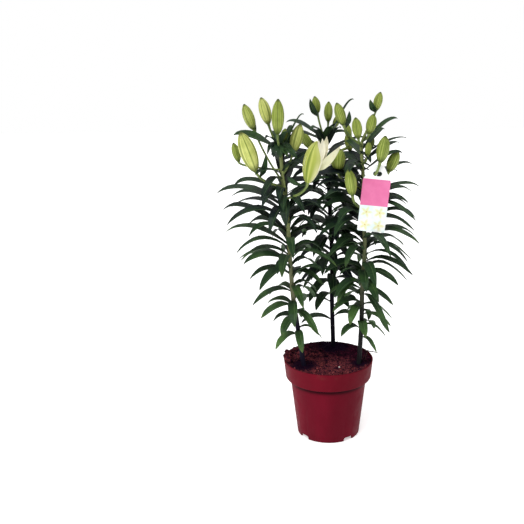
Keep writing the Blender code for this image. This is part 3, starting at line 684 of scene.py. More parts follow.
def lay_stem(plant, blank):
    path = even_run([stem_foot(plant)] + smooth_run(STEMS[plant], 8), STEM_STEPS)
    radii = []
    for k, point in enumerate(path):
        knots = 0.12 * math.sin(point.z / 2.7) * math.sin(point.z / 17.0 + 1.0)
        closing = 0.55 if k == STEM_STEPS else 1.0
        radii.append((float(np.interp(point.z, *STEM_RADIUS)) + knots) * closing)
    return lay(blank, round_rings(path, radii, STEM_SIDES), "stem_" + plant)


def lay_stalk(corners, radius, blank):
    """A stalk that flares where it leaves the stem and again into the cup under its bud."""
    path = [bezier(corners, k / STALK_STEPS) for k in range(STALK_STEPS + 1)]
    path[-1] += (corners[3] - corners[2]).normalized() * 1.0
    radii = []
    for k in range(STALK_STEPS + 1):
        t = k / STALK_STEPS
        radii.append(radius * (1.0 + 0.35 * math.exp(-t * 16.0) + 0.5 * math.exp((t - 1.0) * 14.0)))
    return lay(blank, round_rings(path, radii, STALK_SIDES), "stalk")


stem_blank = straight_blank("stem_blank", STEM_SIDES, STEM_STEPS)
stalk_blank = straight_blank("stalk_blank", STALK_SIDES, STALK_STEPS)
stalks = {}
stem_pieces = {}
stalk_pieces = {}
for plant in STEMS:
    stem_pieces[plant] = lay_stem(plant, stem_blank)
    made = []
    heads = dict(BUDS[plant])
    if plant == "left":
        heads["bloom"] = BLOOM
    for name, (base, tip, radius, height) in heads.items():
        stalks[plant, name] = stalk_corners(plant, base, tip, height)
        thickness = STALK_RADIUS + STALK_SHARE * min(radius, THICKEST_BUD)
        made.append(lay_stalk(stalks[plant, name], thickness, stalk_blank))
    stalk_pieces[plant] = join("stalks_" + plant, made)
    smooth(stem_pieces[plant], 50.0)
    smooth(stalk_pieces[plant], 50.0)
for blank in (stem_blank, stalk_blank):
    bpy.data.objects.remove(blank.piece)
print("stalks:", len(stalks))

# %% [markdown]
# The leaves give the lily its look. Each is a lance-shaped blade with a channel along its middle, that leaves
# the stem pointing up, arches over, and droops at the tip. The rule is the frame's own: a list of the leaves
# that can be told apart, and a spiral of 137.5 degrees a leaf for those behind them. A row of the list holds
# the height on the stem, the direction, the reach, the rise of the tip and, for some, a turn of the blade. A
# spiral has its lowest and highest leaf and its first direction. An inner one also has the middle and half
# the width of the sector that it fills.

# %% How leaves grow
LEAVES = {
    "left": [
        (230, 200, 52, -25), (240, 283, 44, -31), (265, 165, 52, -9), (266, 228, 44, -26),
        (284, 326, 59, -39), (295, 192, 71, -21), (297, 160, 69, -8), (306, 274, 50, -37),
        (327, 186, 84, -27), (328, 155, 68, -23), (338, 295, 58, -27), (361, 338, 70, 19),
        (364, 178, 87, -11), (368, 216, 77, -22), (376, 240, 50, 4), (390, 158, 120, -5),
        (391, 196, 98, 4), (400, 261, 82, -15), (406, 174, 103, -15), (406, 338, 103, -11),
        (421, 190, 109, -5), (428, 163, 140, 17), (434, 278, 84, -10), (447, 152, 106, 7),
        (451, 206, 87, 5), (458, 176, 134, 42), (472, 322, 76, -7), (482, 192, 124, -5),
        (489, 152, 135, 4), (500, 338, 82, 5), (504, 165, 120, 18), (518, 184, 139, 21),
        (524, 268, 66, -8), (536, 206, 109, 27), (538, 230, 61, -15), (562, 148, 58, 44),
        (566, 238, 74, -26), (574, 14, 74, 36, 30), (576, 190, 118, 33), (581, 320, 60, 22),
        (604, 24, 44, 72, -45), (612, 80, 60, 20), (620, 326, 40, -8), (624, 30, 48, 68, -45),
        (625, 186, 92, 31, -40), (627, 244, 36, 4), (629, 294, 32, 2),
    ],
    "middle": [
        (225, 184, 69, -6), (231, 352, 43, 8), (257, 349, 53, 22), (266, 190, 73, 7),
        (604, 302, 59, 50), (607, 241, 46, 40), (620, 0, 45, 14), (622, 30, 60, 52), (612, 318, 52, 42),
        (618, 200, 89, 16), (622, 176, 82, 36), (598, 110, 80, 20), (586, 60, 90, 10),
    ],
    "right": [
        (218, 334, 37, -24), (240, 204, 46, -10), (246, 6, 52, -24), (256, 281, 42, -18),
        (272, 352, 61, -21), (278, 24, 34, -28), (288, 236, 45, -24), (294, 14, 67, -36),
        (297, 186, 54, -8), (317, 330, 65, -71), (322, 356, 65, -26), (348, 296, 70, -25),
        (362, 342, 75, -17), (364, 316, 50, -24), (376, 24, 103, -42), (383, 286, 80, -22),
        (387, 2, 101, -29), (399, 178, 42, -12), (402, 332, 98, -17), (414, 12, 100, -28),
        (416, 348, 90, -21), (418, 34, 119, -19), (423, 205, 73, -14), (436, 30, 124, -10),
        (438, 352, 111, -8), (467, 16, 110, -23), (470, 344, 104, 18), (488, 22, 96, 11),
        (505, 350, 90, 10), (507, 28, 113, 16), (518, 2, 112, 26), (542, 340, 100, 44),
        (578, 352, 78, 39), (597, 32, 85, 30), (609, 10, 92, 31), (606, 120, 70, 20),
        (620, 33, 56, 36), (640, 2, 68, 41, 25),
    ],
}
BRACTS = {
    "left": [("far_left", 0.93, (-151, -6, 690), 11.0), ("bloom", 0.9, (-78, -98, 584), 18.0),
             ("large", 0.8, (-121, -72, 621), 16.0)],
    "middle": [("left", 0.92, (-37, 54, 712), 18.0)],
    "right": [("top", 0.88, (80, -48, 722), 17.0), ("far_left", 0.9, (41, -16, 696), 14.0)],
}
BRACT_SIDE = Vector((-1.0, 0.25, 0.0))
SPIRAL_TURN = 137.5
SPIRAL_STEP = ([240, 400, 600], [11.0, 8.5, 7.5])
SPIRAL = {"left": (246, 585, 20.0), "middle": (276, 600, 95.0), "right": (250, 585, 60.0)}
INNER = {
    "left": (300, 600, 150.0, 52.0, 58.0),
    "middle": (290, 606, 20.0, 270.0, 120.0),
    "right": (300, 600, 200.0, 150.0, 80.0),
}
INNER_STEP = ([200, 700], [5.6, 5.6])
FRONT = {
    "left": [
        (634, 205, 27, -12), (633, 240, 24, -16), (636, 275, 22, -17), (634, 310, 24, -15),
        (632, 345, 27, -10), (540, 206, 50, -26), (528, 322, 50, -24), (516, 272, 44, -36),
        (498, 232, 54, -34),
    ],
    "middle": [
        (628, 205, 34, 16), (630, 330, 40, 26), (612, 262, 40, -10), (560, 250, 60, -18),
        (545, 290, 62, -20),
    ],
    "right": [(592, 220, 46, -14), (560, 236, 52, -22), (610, 300, 34, -10)],
}
NEAR_TURN = 36.0
NEAR_HEIGHT = 26.0
LEAF_REACH = ([200, 300, 400, 500, 600], [46, 68, 92, 112, 116])
LEAF_RISE = ([200, 330, 430, 540], [-28, -24, -8, 14])
ROOT_LIFT = ([200, 300, 370, 430, 480, 520, 600], [18, 18, 27, 38, 40, 30, 18])
TIP_LIFT = ([200, 300, 370, 430, 480, 520, 600], [15, 15, 21, 28, 28, 22, 12])
LEAF_WIDTH = ([200, 350, 500, 620], [22.5, 25.0, 26.0, 22.0])
FACING = 18.0
print("leaves placed by hand:", sum(len(rows) for rows in LEAVES.values()))

Leaf = namedtuple("Leaf", "root azimuth reach rise near far width twist side")


def outward(azimuth):
    return Vector((math.cos(math.radians(azimuth)), math.sin(math.radians(azimuth)), 0.0))


def leaf_corners(leaf):
    """The four corners of the curve that a leaf lies along."""
    out = outward(leaf.azimuth)
    near = leaf.root + out * leaf.reach * leaf.near[0] + UP * leaf.near[1]
    far = leaf.root + out * leaf.reach * leaf.far[0] + UP * leaf.far[1]
    return [leaf.root, near, far, leaf.root + out * leaf.reach + UP * leaf.rise]


def at_height(height, table):
    return float(np.interp(height, *table))


def stem_leaf(plant, height, azimuth, reach, rise, rng, turned=0.0):
    """A leaf on a stem, arched the way leaves at that height are, its face a little to the front."""
    lift = at_height(height, ROOT_LIFT) * rng.uniform(0.9, 1.1)
    tip_lift = at_height(height, TIP_LIFT) * rng.uniform(0.85, 1.1)
    width = at_height(height, LEAF_WIDTH) * rng.uniform(0.9, 1.08)
    root = stem_point(plant, height)
    twist = turned + FACING * math.cos(math.radians(azimuth)) + rng.uniform(-15, 15)
    return Leaf(root, azimuth, reach, rise, (0.38, lift), (0.78, rise + tip_lift), width, twist, None)


def turn_between(first, second):
    """How many degrees two directions are apart."""
    return abs((first - second + 180) % 360 - 180)


def climbing_leaves(plant, rng, height, high, azimuth, step, reaches, sway):
    """Heights and leaves on a spiral up the stem, each a golden turn on from the last."""
    while height < high:
        turn = azimuth % 360.0 + rng.uniform(-sway[0], sway[0])
        reach = at_height(height, LEAF_REACH) * rng.uniform(*reaches)
        rise = at_height(height, LEAF_RISE) + rng.uniform(-sway[1], sway[1])
        yield height, stem_leaf(plant, height, turn, reach, rise, rng)
        height += at_height(height, step)
        azimuth += SPIRAL_TURN


def spiral_leaves(plant, rng):
    """The frame's leaves on a spiral, but for those that a listed leaf stands near."""
    kept = []
    for height, leaf in climbing_leaves(plant, rng, *SPIRAL[plant], SPIRAL_STEP, (0.88, 1.06), (9, 8)):
        beside = [row for row in LEAVES[plant] if abs(row[0] - height) < NEAR_HEIGHT
                  and turn_between(row[1], leaf.azimuth) < NEAR_TURN]
        if not beside:
            kept.append(leaf)
    return kept


def inner_leaves(plant, rng):
    """Leaves between the stems, which the frame leaves out to stay light."""
    *climb, sector, sector_half = INNER[plant]
    found = climbing_leaves(plant, rng, *climb, INNER_STEP, (0.75, 1.0), (12, 12))
    return [leaf for _, leaf in found if turn_between(leaf.azimuth, sector) < sector_half]


def front_leaves(plant, rng):
    """Short, broad leaves that hang in front of the stems, close under the buds."""
    return [stem_leaf(plant, *row, rng) for row in FRONT[plant]]


def bract(stalk, place, tip, width):
    """A narrow leaf that stands up beside a bud from a place on its stalk, with its face to the front."""
    root = bezier(stalk, place)
    span = Vector(tip) - root
    azimuth = math.degrees(math.atan2(span.y, span.x))
    reach = math.hypot(span.x, span.y)
    near = (0.55, span.z * 0.2)
    far = (0.95, span.z * 0.62)
    return Leaf(root, azimuth, reach, span.z, near, far, width, 0.0, BRACT_SIDE)


# %% [markdown]
# In the frame, a leaf that would cross a neighbour was bent a little aside, lifted, or made shorter. The
# blades here have to lie along the same curves. Instead of working the bends out again, each leaf tries them
# in the same order and keeps the one whose tip is a corner of the frame's own mesh. Bracts lie as listed.

# %% Find how each leaf was bent
TURNS = [0, 5, -5, 10, -10, 16, -16, 23, -23, 31, -31, 40, -40]
LIFTS = [0, 10, -10, 20, -20, 32]
SHRINKS = [1.0, 0.9, 0.8, 0.65]
SAME_PLACE = 0.05


def frame_corners(plant):
    """A search tree over the corners of a leafy stem of the frame, in millimetres."""
    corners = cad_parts["leafy_stem_" + plant].data.vertices
    tree = KDTree(len(corners))
    for number, corner in enumerate(corners):
        tree.insert(corner.co / MM, number)
    tree.balance()
    return tree


def as_bent(leaf, tree):
    """The leaf as it lies in the frame, or none where the frame has no such leaf."""
    if leaf.side:
        return leaf
    for shrink in SHRINKS:
        for lift in LIFTS:
            for turn in TURNS:
                bent = leaf._replace(azimuth=leaf.azimuth + turn, reach=leaf.reach * shrink,
                                     rise=leaf.rise * shrink + lift,
                                     far=(leaf.far[0], leaf.far[1] * shrink + lift))
                if tree.find(leaf_corners(bent)[3])[2] < SAME_PLACE:
                    return bent
    return None


def all_leaves():
    """Every leaf and bract of each plant, drawn in the frame's own order."""
    rng = random.Random(11)
    found = {plant: [] for plant in STEMS}
    for plant in STEMS:
        for height, azimuth, reach, rise, *turned in LEAVES[plant]:
            found[plant].append(stem_leaf(plant, height, azimuth, reach, rise, rng, *turned))
        for name, place, tip, width in BRACTS[plant]:
            found[plant].append(bract(stalks[plant, name], place, tip, width))
    for plant in STEMS:
        found[plant] += spiral_leaves(plant, rng)
    return found


leaves = {}
for plant, grown in all_leaves().items():
    tree = frame_corners(plant)
    bent = [as_bent(leaf, tree) for leaf in grown]
    leaves[plant] = [leaf for leaf in bent if leaf]
    print(plant, "leaves:", len(leaves[plant]), "of", len(grown))

# %% [markdown]
# One leaf blank is enough for them all: six corners round and a dozen rings, pointed at the far end. Laid on
# a leaf's curve, three of the corners make the arched upper side, two the margins, and one the keel below.
# Each blade gets a slight twist, a wavy margin and a tone of its own, so that no two look alike. The tone also
# holds painted light and shade, by height and by plant.

# %% Lay the leaves
LEAF_STEPS = 11
BLADE_SECTION = [(1.0, 0.30, 0.0), (0.52, 0.2, 0.3), (0.0, 0.0, 0.5), (-0.52, 0.2, 0.3), (-1.0, 0.30, 0.0),
                 (0.0, 0.0, -0.5)]
KEEL_SPOKE = 5
BLADE_THICKNESS = 0.9
BLADE_FULLNESS = 1.08
BLUNTNESS = ([230, 420, 560], [2.6, 2.2, 1.9])
DARKEST_HEIGHT = 560.0
SHADE_TOP = 610.0
SHADE_DEPTH = 0.34


def blade_width(t, bluntness=2.2):
    """The width along a lance-shaped blade, as a part of its widest."""
    if t < 0.40:
        part = t / 0.40
        return 0.30 + 0.70 * part * part * (3 - 2 * part)
    return 1.0 - ((t - 0.40) / 0.60) ** bluntness


def leaf_rings(leaf, rng):
    """The rings of a leaf: its margins wave, and its section is a shallow gutter with arched sides."""
    corners = leaf_corners(leaf)
    side = leaf.side or UP.cross(outward(leaf.azimuth))
    phases = (rng.uniform(0.0, 6.28), rng.uniform(0.0, 6.28))
    bluntness = at_height(leaf.root.z, BLUNTNESS)
    rings = []
    for k in range(LEAF_STEPS + 1):
        t = 1.0 - (1.0 - k / LEAF_STEPS) ** 1.15
        ahead = heading(corners, t)
        across = square_to(side, ahead)
        across = Matrix.Rotation(math.radians(leaf.twist) * t ** 0.6, 3, ahead) @ across
        above = ahead.cross(across)
        half = leaf.width * BLADE_FULLNESS * blade_width(t, bluntness) / 2
        ring = []
        for out, fold, thick in BLADE_SECTION:
            wave = 0.05 * abs(out) * math.sin(phases[out > 0] + t * 15.0)
            ring.append(bezier(corners, t) + across * half * out
                        + above * (half * (fold + wave) + thick * BLADE_THICKNESS))
        rings.append(ring)
    rings[-1] = [corners[3]]
    return rings


def leaf_tone_and_shade(leaf, plant, rng):
    """How light a leaf is: lighter low down, painted light at the top, painted shade mid-height and in the
    middle plant.
    """
    height = leaf.root.z
    low_light = 0.5 + 0.4 * (400.0 - height) / 200.0
    # Painted light: leaves high up are made lighter, as if lit from above.
    painted_top_light = 0.18 + 0.8 * (height - DARKEST_HEIGHT) / 200.0
    tone = max(low_light, painted_top_light) + rng.uniform(-0.2, 0.2)
    # Painted shade: the middle plant's leaves below its top are darker.
    if plant == "middle" and height < SHADE_TOP:
        tone -= SHADE_DEPTH
    if leaf.side:
        tone = 0.52 + 0.3 * (tone - 0.5)
    return min(1.0, max(0.0, tone))


leaf_blank = straight_blank("leaf_blank", len(BLADE_SECTION), LEAF_STEPS, True)
mark(leaf_blank.piece, "across", [(BLADE_SECTION[spoke][0] + 1.0) / 2.0 for _, spoke in leaf_blank.places])
mark(leaf_blank.piece, "along", [station / LEAF_STEPS for station, _ in leaf_blank.places])
mark(leaf_blank.piece, "under", [spoke == KEEL_SPOKE for _, spoke in leaf_blank.places])
mark(leaf_blank.piece, "tone", [0.0] * len(leaf_blank.places))
rng = random.Random(29)
leaf_pieces = {}
for plant in STEMS:
    made = []
    extra = inner_leaves(plant, random.Random(17)) + front_leaves(plant, random.Random(5))
    for leaf in leaves[plant] + extra:
        blade = lay(leaf_blank, leaf_rings(leaf, rng), "leaf")
        set_tone(blade, leaf_tone_and_shade(leaf, plant, rng))
        made.append(blade)
    leaf_pieces[plant] = join("leaves_" + plant, made)
    smooth(leaf_pieces[plant], 55.0)
bpy.data.objects.remove(leaf_blank.piece)
print("leaf faces:", sum(len(piece.data.polygons) for piece in leaf_pieces.values()))

# %% [markdown]
# A lily leaf is dark, glossy green above, with parallel veins pressed in from end to end, and paler and
# duller below. The veins follow the blade, so the finish reads the marks across and along it, not space.

# %% Leaf finish
VEINS = 11


def leaf_finish():
    finish = Finish("lily_leaf", 0.4, 0.16)
    across = finish.mark("across")
    along = finish.mark("along")
    fleck = finish.noise(260.0, detail=3.0)
    patch = finish.spread(finish.noise(28.0, detail=3.0), 0.3, 0.7, -0.16, 0.16)
    tone = finish.plus(finish.mark("tone"), patch)
    # The dark navy end of the tone is painted shade.
    finish.colour = finish.two_tone((11, 13, 34), (42, 66, 42), tone, 0.0, 0.5)
    finish.over((80, 114, 58), tone, 0.5, 1.0)
    # Painted shade: each blade darkens towards its base, near the stem.
    finish.shade((120, 115, 165), along, 0.05, 0.6, 0.7, 0.0)
    fading = finish.times(finish.spread(along, 0.7, 1.0, 0.0, 0.5), finish.spread(tone, 0.45, 0.8))
    finish.over((128, 150, 88), fading)
    ribs = finish.wave(across, VEINS)
    finish.over((110, 146, 92), ribs, 0.2, 1.0, 0.0, 0.14)
    off_middle = finish.maths("ABSOLUTE", finish.maths("SUBTRACT", across, 0.5))
    midrib = finish.spread(off_middle, 0.015, 0.05, 1.0, 0.0)
    finish.over((120, 152, 96), finish.times(midrib, 0.3))
    finish.shade((200, 205, 190), fleck, 0.35, 0.75, 0.0, 0.4)
    below = finish.spread(finish.mark("under"), 0.01, 0.08)
    finish.over((80, 108, 72), finish.times(below, finish.spread(tone, 0.15, 0.7, 0.1, 0.6)))
    dull = finish.plus(below, finish.times(fleck, 0.5))
    channel = finish.bump(finish.times(midrib, -1.0), 0.4, finish.bump(ribs, 0.12))
    return finish.done(finish.bump(fleck, 0.12, channel), finish.spread(dull, 0.2, 1.4, 0.3, 0.62))


green = leaf_finish()
for plant in STEMS:
    dress(leaf_pieces[plant], green, "leaf_green", "leafy_stem_" + plant)

# %% [markdown]
# The stems' colour runs with height, from purple-brown through grey-green to pale green, and each plant
# turns green at its own height. The middle stem stands in the shade of the other two, and its colours are
# painted shade, nearly black. Long streaks and small scars come from noise stretched along the stem. It
# could be unwrapped and painted, but on a rod this thin the eye only sees tone, streaks and specks.

# %% Stem and stalk finishes
STEM_TURNS_GREEN = {"left": (0.24, 0.36), "middle": (0.44, 0.62), "right": (0.26, 0.40)}
# The middle plant's colours here are painted shade.
FOOT_COLOUR_AND_SHADE = {"left": (24, 18, 38), "middle": (8, 4, 22), "right": (30, 30, 32)}
MIDDLE_COLOUR_AND_SHADE = {"left": (120, 122, 92), "middle": (22, 26, 30), "right": (108, 114, 82)}


def stem_finish(plant):
    finish = Finish("stem_bark_" + plant, 0.66, 0.12)
    low, high = STEM_TURNS_GREEN[plant]
    streaks = finish.noise(240.0, (1.0, 1.0, 0.12), 4.0)
    scars = finish.cells(150.0, (1.0, 1.0, 0.9))
    height = finish.ragged(finish.axis("Z"), streaks, 0.03)
    finish.colour = finish.two_tone(FOOT_COLOUR_AND_SHADE[plant], MIDDLE_COLOUR_AND_SHADE[plant], height, low, high)
    finish.over((156, 168, 108), height, high, high + 0.16)
    finish.shade((156, 154, 142), streaks, 0.4, 0.7, 0.0, 0.65)
    finish.over((62, 52, 44), scars, 0.0, 0.16, 0.5, 0.0)
    return finish.done(finish.bump(finish.spread(scars, 0.0, 0.3), 0.3, finish.bump(streaks, 0.5)))


def stalk_finish():
    finish = Finish("stalk_green", 0.48, 0.25)
    streaks = finish.noise(300.0, (1.0, 1.0, 0.2), 3.0)
    finish.colour = finish.two_tone((82, 104, 52), (142, 158, 92), finish.noise(40.0), 0.3, 0.7)
    finish.shade((170, 180, 150), streaks, 0.4, 0.75, 0.0, 0.5)
    return finish.done(finish.bump(streaks, 0.25))


pale_green = stalk_finish()
for plant in STEMS:
    dress(stem_pieces[plant], stem_finish(plant), "leaf_green", "leafy_stem_" + plant)
    dress(stalk_pieces[plant], pale_green, "leaf_green", "leafy_stem_" + plant)

# %% [markdown]
# A closed lily bud shows the backs of three outer tepals, each with a raised green keel between two shallow
# grooves, and the seams where they meet. It tapers to a blunt dark tip. Three tepals could be pressed
# together, but nothing between them shows. So the bud is again one blank, with enough sides to hold the
# keels and the seams, laid between the base and the tip of each bud of the frame.

# %% Lay the buds
BUD_OUTLINE = [(0.0, 0.26), (0.11, 0.62), (0.32, 0.93), (0.55, 1.0), (0.78, 0.79), (0.93, 0.4), (1.0, 0.12)]
BUD_SIDES = 36
BUD_STEPS = 18
RIPE = {
    "left": {"large": 1.0, "tall": 0.9, "right": 0.75, "far_left": 0.6, "front": 0.34, "small": -0.1,
             "behind_large": 0.1},
    "middle": {"top": 0.25, "low_left": -0.05, "left": 0.35},
    "right": {"broad": 0.2, "outer": 0.05, "far_right": 0.05, "narrow": -0.05},
}
MOSTLY_RIPE = 0.22

outline = smooth_run([(share, part, 0.0) for share, part in BUD_OUTLINE], 6)
BUD_PROFILE = ([point.x for point in outline], [point.y for point in outline])


def bud_part(share):
    """The radius of a bud at a place along it, as a part of its widest."""
    return float(np.interp(share, *BUD_PROFILE))


def off_keel(degrees):
    """How many degrees a turn is from the nearest keel. Keels are a third of a turn apart, seams between."""
    return abs((degrees + 60.0) % 120.0 - 60.0)


def bud_share(station):
    """How far along a bud a station is: they stand closer together near its ends."""
    return 0.5 - 0.5 * math.cos(math.pi * station / BUD_STEPS)


def keeled(turn):
    """How far a bud stands out at a turn about its axis."""
    from_keel = off_keel(math.degrees(turn))
    keel = 0.05 * math.exp(-(from_keel / 8.0) ** 2)
    groove = 0.018 * math.exp(-((from_keel - 19.0) / 8.0) ** 2)
    seam = 0.08 * math.exp(-((60.0 - from_keel) / 7.0) ** 2)
    return 0.965 + 0.02 * math.cos(3 * turn) + keel - groove - seam


def bud_rings(base, tip, radius, turn):
    start = Vector(base)
    axis = Vector(tip) - start
    side = axis.cross(Vector((0.0, 1.0, 0.0))).normalized()
    other = axis.normalized().cross(side)
    rings = []
    for k in range(BUD_STEPS + 1):
        share = bud_share(k)
        ring = []
        for s in range(BUD_SIDES):
            angle = 2 * math.pi * s / BUD_SIDES
            arm = side * math.cos(angle + turn) + other * math.sin(angle + turn)
            ring.append(start + axis * share + arm * radius * bud_part(share) * keeled(angle))
        rings.append(ring)
    return rings


bud_blank = straight_blank("bud_blank", BUD_SIDES, BUD_STEPS)
mark(bud_blank.piece, "keel", [off_keel(spoke * 360.0 / BUD_SIDES) / 60.0 for _, spoke in bud_blank.places])
mark(bud_blank.piece, "along", [bud_share(station) for station, _ in bud_blank.places])
mark(bud_blank.piece, "tone", [0.0] * len(bud_blank.places))
buds = []
for number, plant in enumerate(STEMS):
    for turn, (name, (base, tip, radius, _)) in enumerate(BUDS[plant].items()):
        node = "bud_%s_%s" % (plant, name)
        bud = lay(bud_blank, bud_rings(base, tip, radius, turn * 1.3 + number), node + "_tepals")
        set_tone(bud, RIPE[plant].get(name, MOSTLY_RIPE))
        smooth(bud, 60.0)
        buds.append((bud, node))
print("buds:", len(buds))

# %% [markdown]
# Unripe buds are green with paler stripes, and a bud about to open pales to cream while its keels stay green.
# The mark "tone" holds how ripe each is, so that one finish does for all of them. Stripes follow the mark
# from keel to seam, and the base and the tip stay dark.

# %% Bud finish
def bud_finish():
    finish = Finish("bud_skin", 0.46, 0.22)
    keel = finish.mark("keel")
    along = finish.mark("along")
    ripe = finish.mark("tone")
    finish.colour = finish.two_tone((86, 110, 36), (146, 163, 72), ripe, -0.3, 0.3)
    finish.over((222, 226, 134), ripe, 0.3, 1.0)
    finish.over((204, 210, 118), finish.wave(keel, 2.5), -0.3, 1.0, 0.0, 0.62)
    finish.over((92, 118, 28), finish.streaks(keel, along, 14.0), 0.45, 0.7, 0.0, 0.62)
    finish.over((82, 112, 24), keel, 0.0, 0.1, 0.85, 0.0)
    finish.over((78, 98, 28), keel, 0.8, 1.0, 0.0, 0.75)
    finish.over((54, 76, 18), along, 0.0, 0.26, 0.85, 0.0)
    finish.over((56, 70, 22), along, 0.9, 1.0, 0.0, 0.9)
    finish.shade((205, 215, 160), finish.noise(60.0, detail=3.0), 0.35, 0.7, 0.0, 0.5)
    return finish.done(finish.bump(finish.noise(300.0), 0.1, finish.bump(finish.wave(keel, 9.0), 0.12)))


skin = bud_finish()
for bud, node in buds:
    dress(bud, skin, "bud_green", node)

# %% [markdown]
# One flower has begun to open. Two of its outer tepals still hug the white inner petals, and the third has
# come away to the right. The hugging tepals are shells: a flat grid rolled round the bud, then given
# thickness. The free ones are the same grid laid along a curve: a row holds the four corners of the curve,
# the way across it, the width, and how green the tepal is.

# %% Open the first flower
BLOOM_TEPALS = [
    ([(-28, -92, 596), (-12, -94, 596), (6, -95, 618), (24, -96, 641)], (-0.7, 0.25, 0.7), 16.0, 0.2),
    ([(-26, -86, 604), (-10, -84, 612), (-3, -82, 638), (-3, -84, 657)], (-0.9, 0.4, 0.1), 17.0, 0.0),
    ([(-26, -96, 604), (-14, -98, 616), (-9, -98, 638), (-11, -96, 655)], (-0.9, -0.4, 0.1), 15.0, 0.0),
]
HUGGING = [62.0, 300.0]
HUG_HALF = 75.0
BODY_SHARE = 0.96
TEPAL_THICKNESS = 0.8


def lay_sheet(name, place, rows, columns, green_share):
    """A sheet of tepal from a flat grid: place gives the point at each part across and along it."""
    sheet = add_mesh(name, bpy.ops.mesh.primitive_grid_add, x_subdivisions=columns, y_subdivisions=rows,
                     size=2.0)
    across = [corner.co.x for corner in sheet.data.vertices]
    along = [(corner.co.y + 1.0) / 2.0 for corner in sheet.data.vertices]
    for corner, u, t in zip(sheet.data.vertices, across, along):
        corner.co = place(u, t) * MM
    mark(sheet, "keel", [abs(u) for u in across])
    mark(sheet, "along", along)
    mark(sheet, "tone", [green_share] * len(across))
    apply_modifier(sheet, "SOLIDIFY", thickness=TEPAL_THICKNESS * MM, offset=0.0)
    bpy.ops.object.mode_set(mode="EDIT")
    face_outward()
    return sheet


def hugging_tepal(name, centre):
    """A tepal that still wraps the bloom, centred at a turn from the left towards the camera."""
    base, tip, radius, _ = BLOOM
    start = Vector(base)
    axis = Vector(tip) - start
    ahead = axis.normalized()
    left = square_to(Vector((-1.0, 0.0, 0.0)), ahead)
    front = ahead.cross(left)

    def place(u, t):
        share = 0.98 * t
        narrowing = 1.0 - 0.7 * max(0.0, (t - 0.55) / 0.45) ** 1.6
        angle = math.radians(centre + u * HUG_HALF * narrowing)
        arm = left * math.cos(angle) + front * math.sin(angle)
        keel = 0.05 * math.exp(-(u / 0.12) ** 2) - 0.025 * math.exp(-((abs(u) - 0.3) / 0.12) ** 2)
        lifted = 0.06 * abs(u) ** 4 * t
        return start + axis * share + arm * radius * (bud_part(share) * (0.97 + keel) + lifted)

    return lay_sheet(name, place, 26, 22, 0.55)


def free_tepal(name, corners, side, width, green_share):
    """A tepal along a curve, cupped, widest in the middle and pointed."""
    curve = [Vector(corner) for corner in corners]

    def place(u, t):
        ahead = heading(curve, t)
        across = square_to(Vector(side), ahead)
        above = ahead.cross(across)
        half = width * 0.5 * max(0.05, blade_width(t))
        return bezier(curve, t) + across * half * u + above * half * 0.34 * (abs(u) ** 1.6 - 0.3)

    return lay_sheet(name, place, 22, 12, green_share)


base, tip, radius, _ = BLOOM
body = lay(bud_blank, bud_rings(base, tip, radius * BODY_SHARE, 0.5), "bloom_petals")
bpy.data.objects.remove(bud_blank.piece)
petals = [body] + [hugging_tepal("tepal", centre) for centre in HUGGING]
petals += [free_tepal("tepal", *row) for row in BLOOM_TEPALS]
bloom = join("opening_bloom_petals", petals)
smooth(bloom, 60.0)
print("bloom:", len(bloom.data.polygons), "faces")

# %% [markdown]
# The petals are creamy white with faint veins, and the outer tepals have a dark band along the keel, a pale
# line beside it, and a creamy edge that is widest near the base. They could have two materials, but green
# runs into white without a border. So one finish blends them, and the mark "tone" says how green each is.

# %% Petal finish
def petal_finish():
    finish = Finish("petal_white", 0.44, 0.25)
    keel = finish.mark("keel")
    along = finish.mark("along")
    green_share = finish.mark("tone")
    patch = finish.noise(70.0, detail=3.0)
    finish.colour = finish.two_tone((238, 232, 202), (248, 244, 224), patch, 0.3, 0.7)
    finish.over((206, 214, 150), along, 0.0, 0.45, 0.6, 0.0)
    blush = finish.two_tone((146, 160, 52), (176, 184, 84), along, 0.1, 0.9)
    finish.colour = finish.mix(finish.spread(green_share, 0.0, 0.6), finish.colour, blush)
    green = finish.spread(green_share, 0.2, 0.5)
    beside = finish.times(finish.spread(keel, 0.08, 0.18), finish.spread(keel, 0.2, 0.36, 0.6, 0.0))
    finish.over((206, 210, 112), finish.times(beside, green))
    low = finish.times(finish.spread(along, 0.3, 0.65, 1.0, 0.35), green)
    finish.over((222, 220, 158), finish.times(finish.spread(keel, 0.42, 0.9, 0.0, 0.9), low))
    finish.over((104, 124, 34), finish.times(finish.spread(keel, 0.02, 0.16, 0.85, 0.0), green))
    veins = finish.wave(keel, 7.0)
    finish.over((168, 186, 104), veins, 0.2, 1.0, 0.0, 0.16)
    return finish.done(finish.bump(veins, 0.1, finish.bump(patch, 0.3)))


dress(bloom, petal_finish(), "petal_white", "opening_bloom")

# %% [markdown]
# The plant label is a thin plastic card with a tapered top and a slot that hangs on a bud's stalk. It is a
# plane, with its top edge extruded up and narrowed and its lower corners rounded, and only then thickened and
# cut, so that the card stays flat and even.

# %% Cut the label
LABEL_PLANE = -70.5
LABEL_TILT = 5.9
LABEL_HALF_WIDTH = 27.0
LABEL_SHOULDER = 104.0
LABEL_TOP = 134.0
LABEL_TOP_HALF_WIDTH = 10.0
LABEL_CORNER = 3.0
LABEL_TOP_CORNER = 2.0
LABEL_THICKNESS = 0.8
SLOT_HEIGHT = 116.0
SLOT_HALF_LENGTH = 4.0
SLOT_RADIUS = 4.7
SLOT_HANG = (3.8, 0.3)


def label_hook(stalk):
    """The point where the stalk runs through the label's plane."""
    path = [bezier(stalk, k / 4) for k in range(5)]
    for near, far in zip(path, path[1:]):
        if near.y >= LABEL_PLANE >= far.y:
            return near.lerp(far, (near.y - LABEL_PLANE) / (near.y - far.y))
    return path[-1]


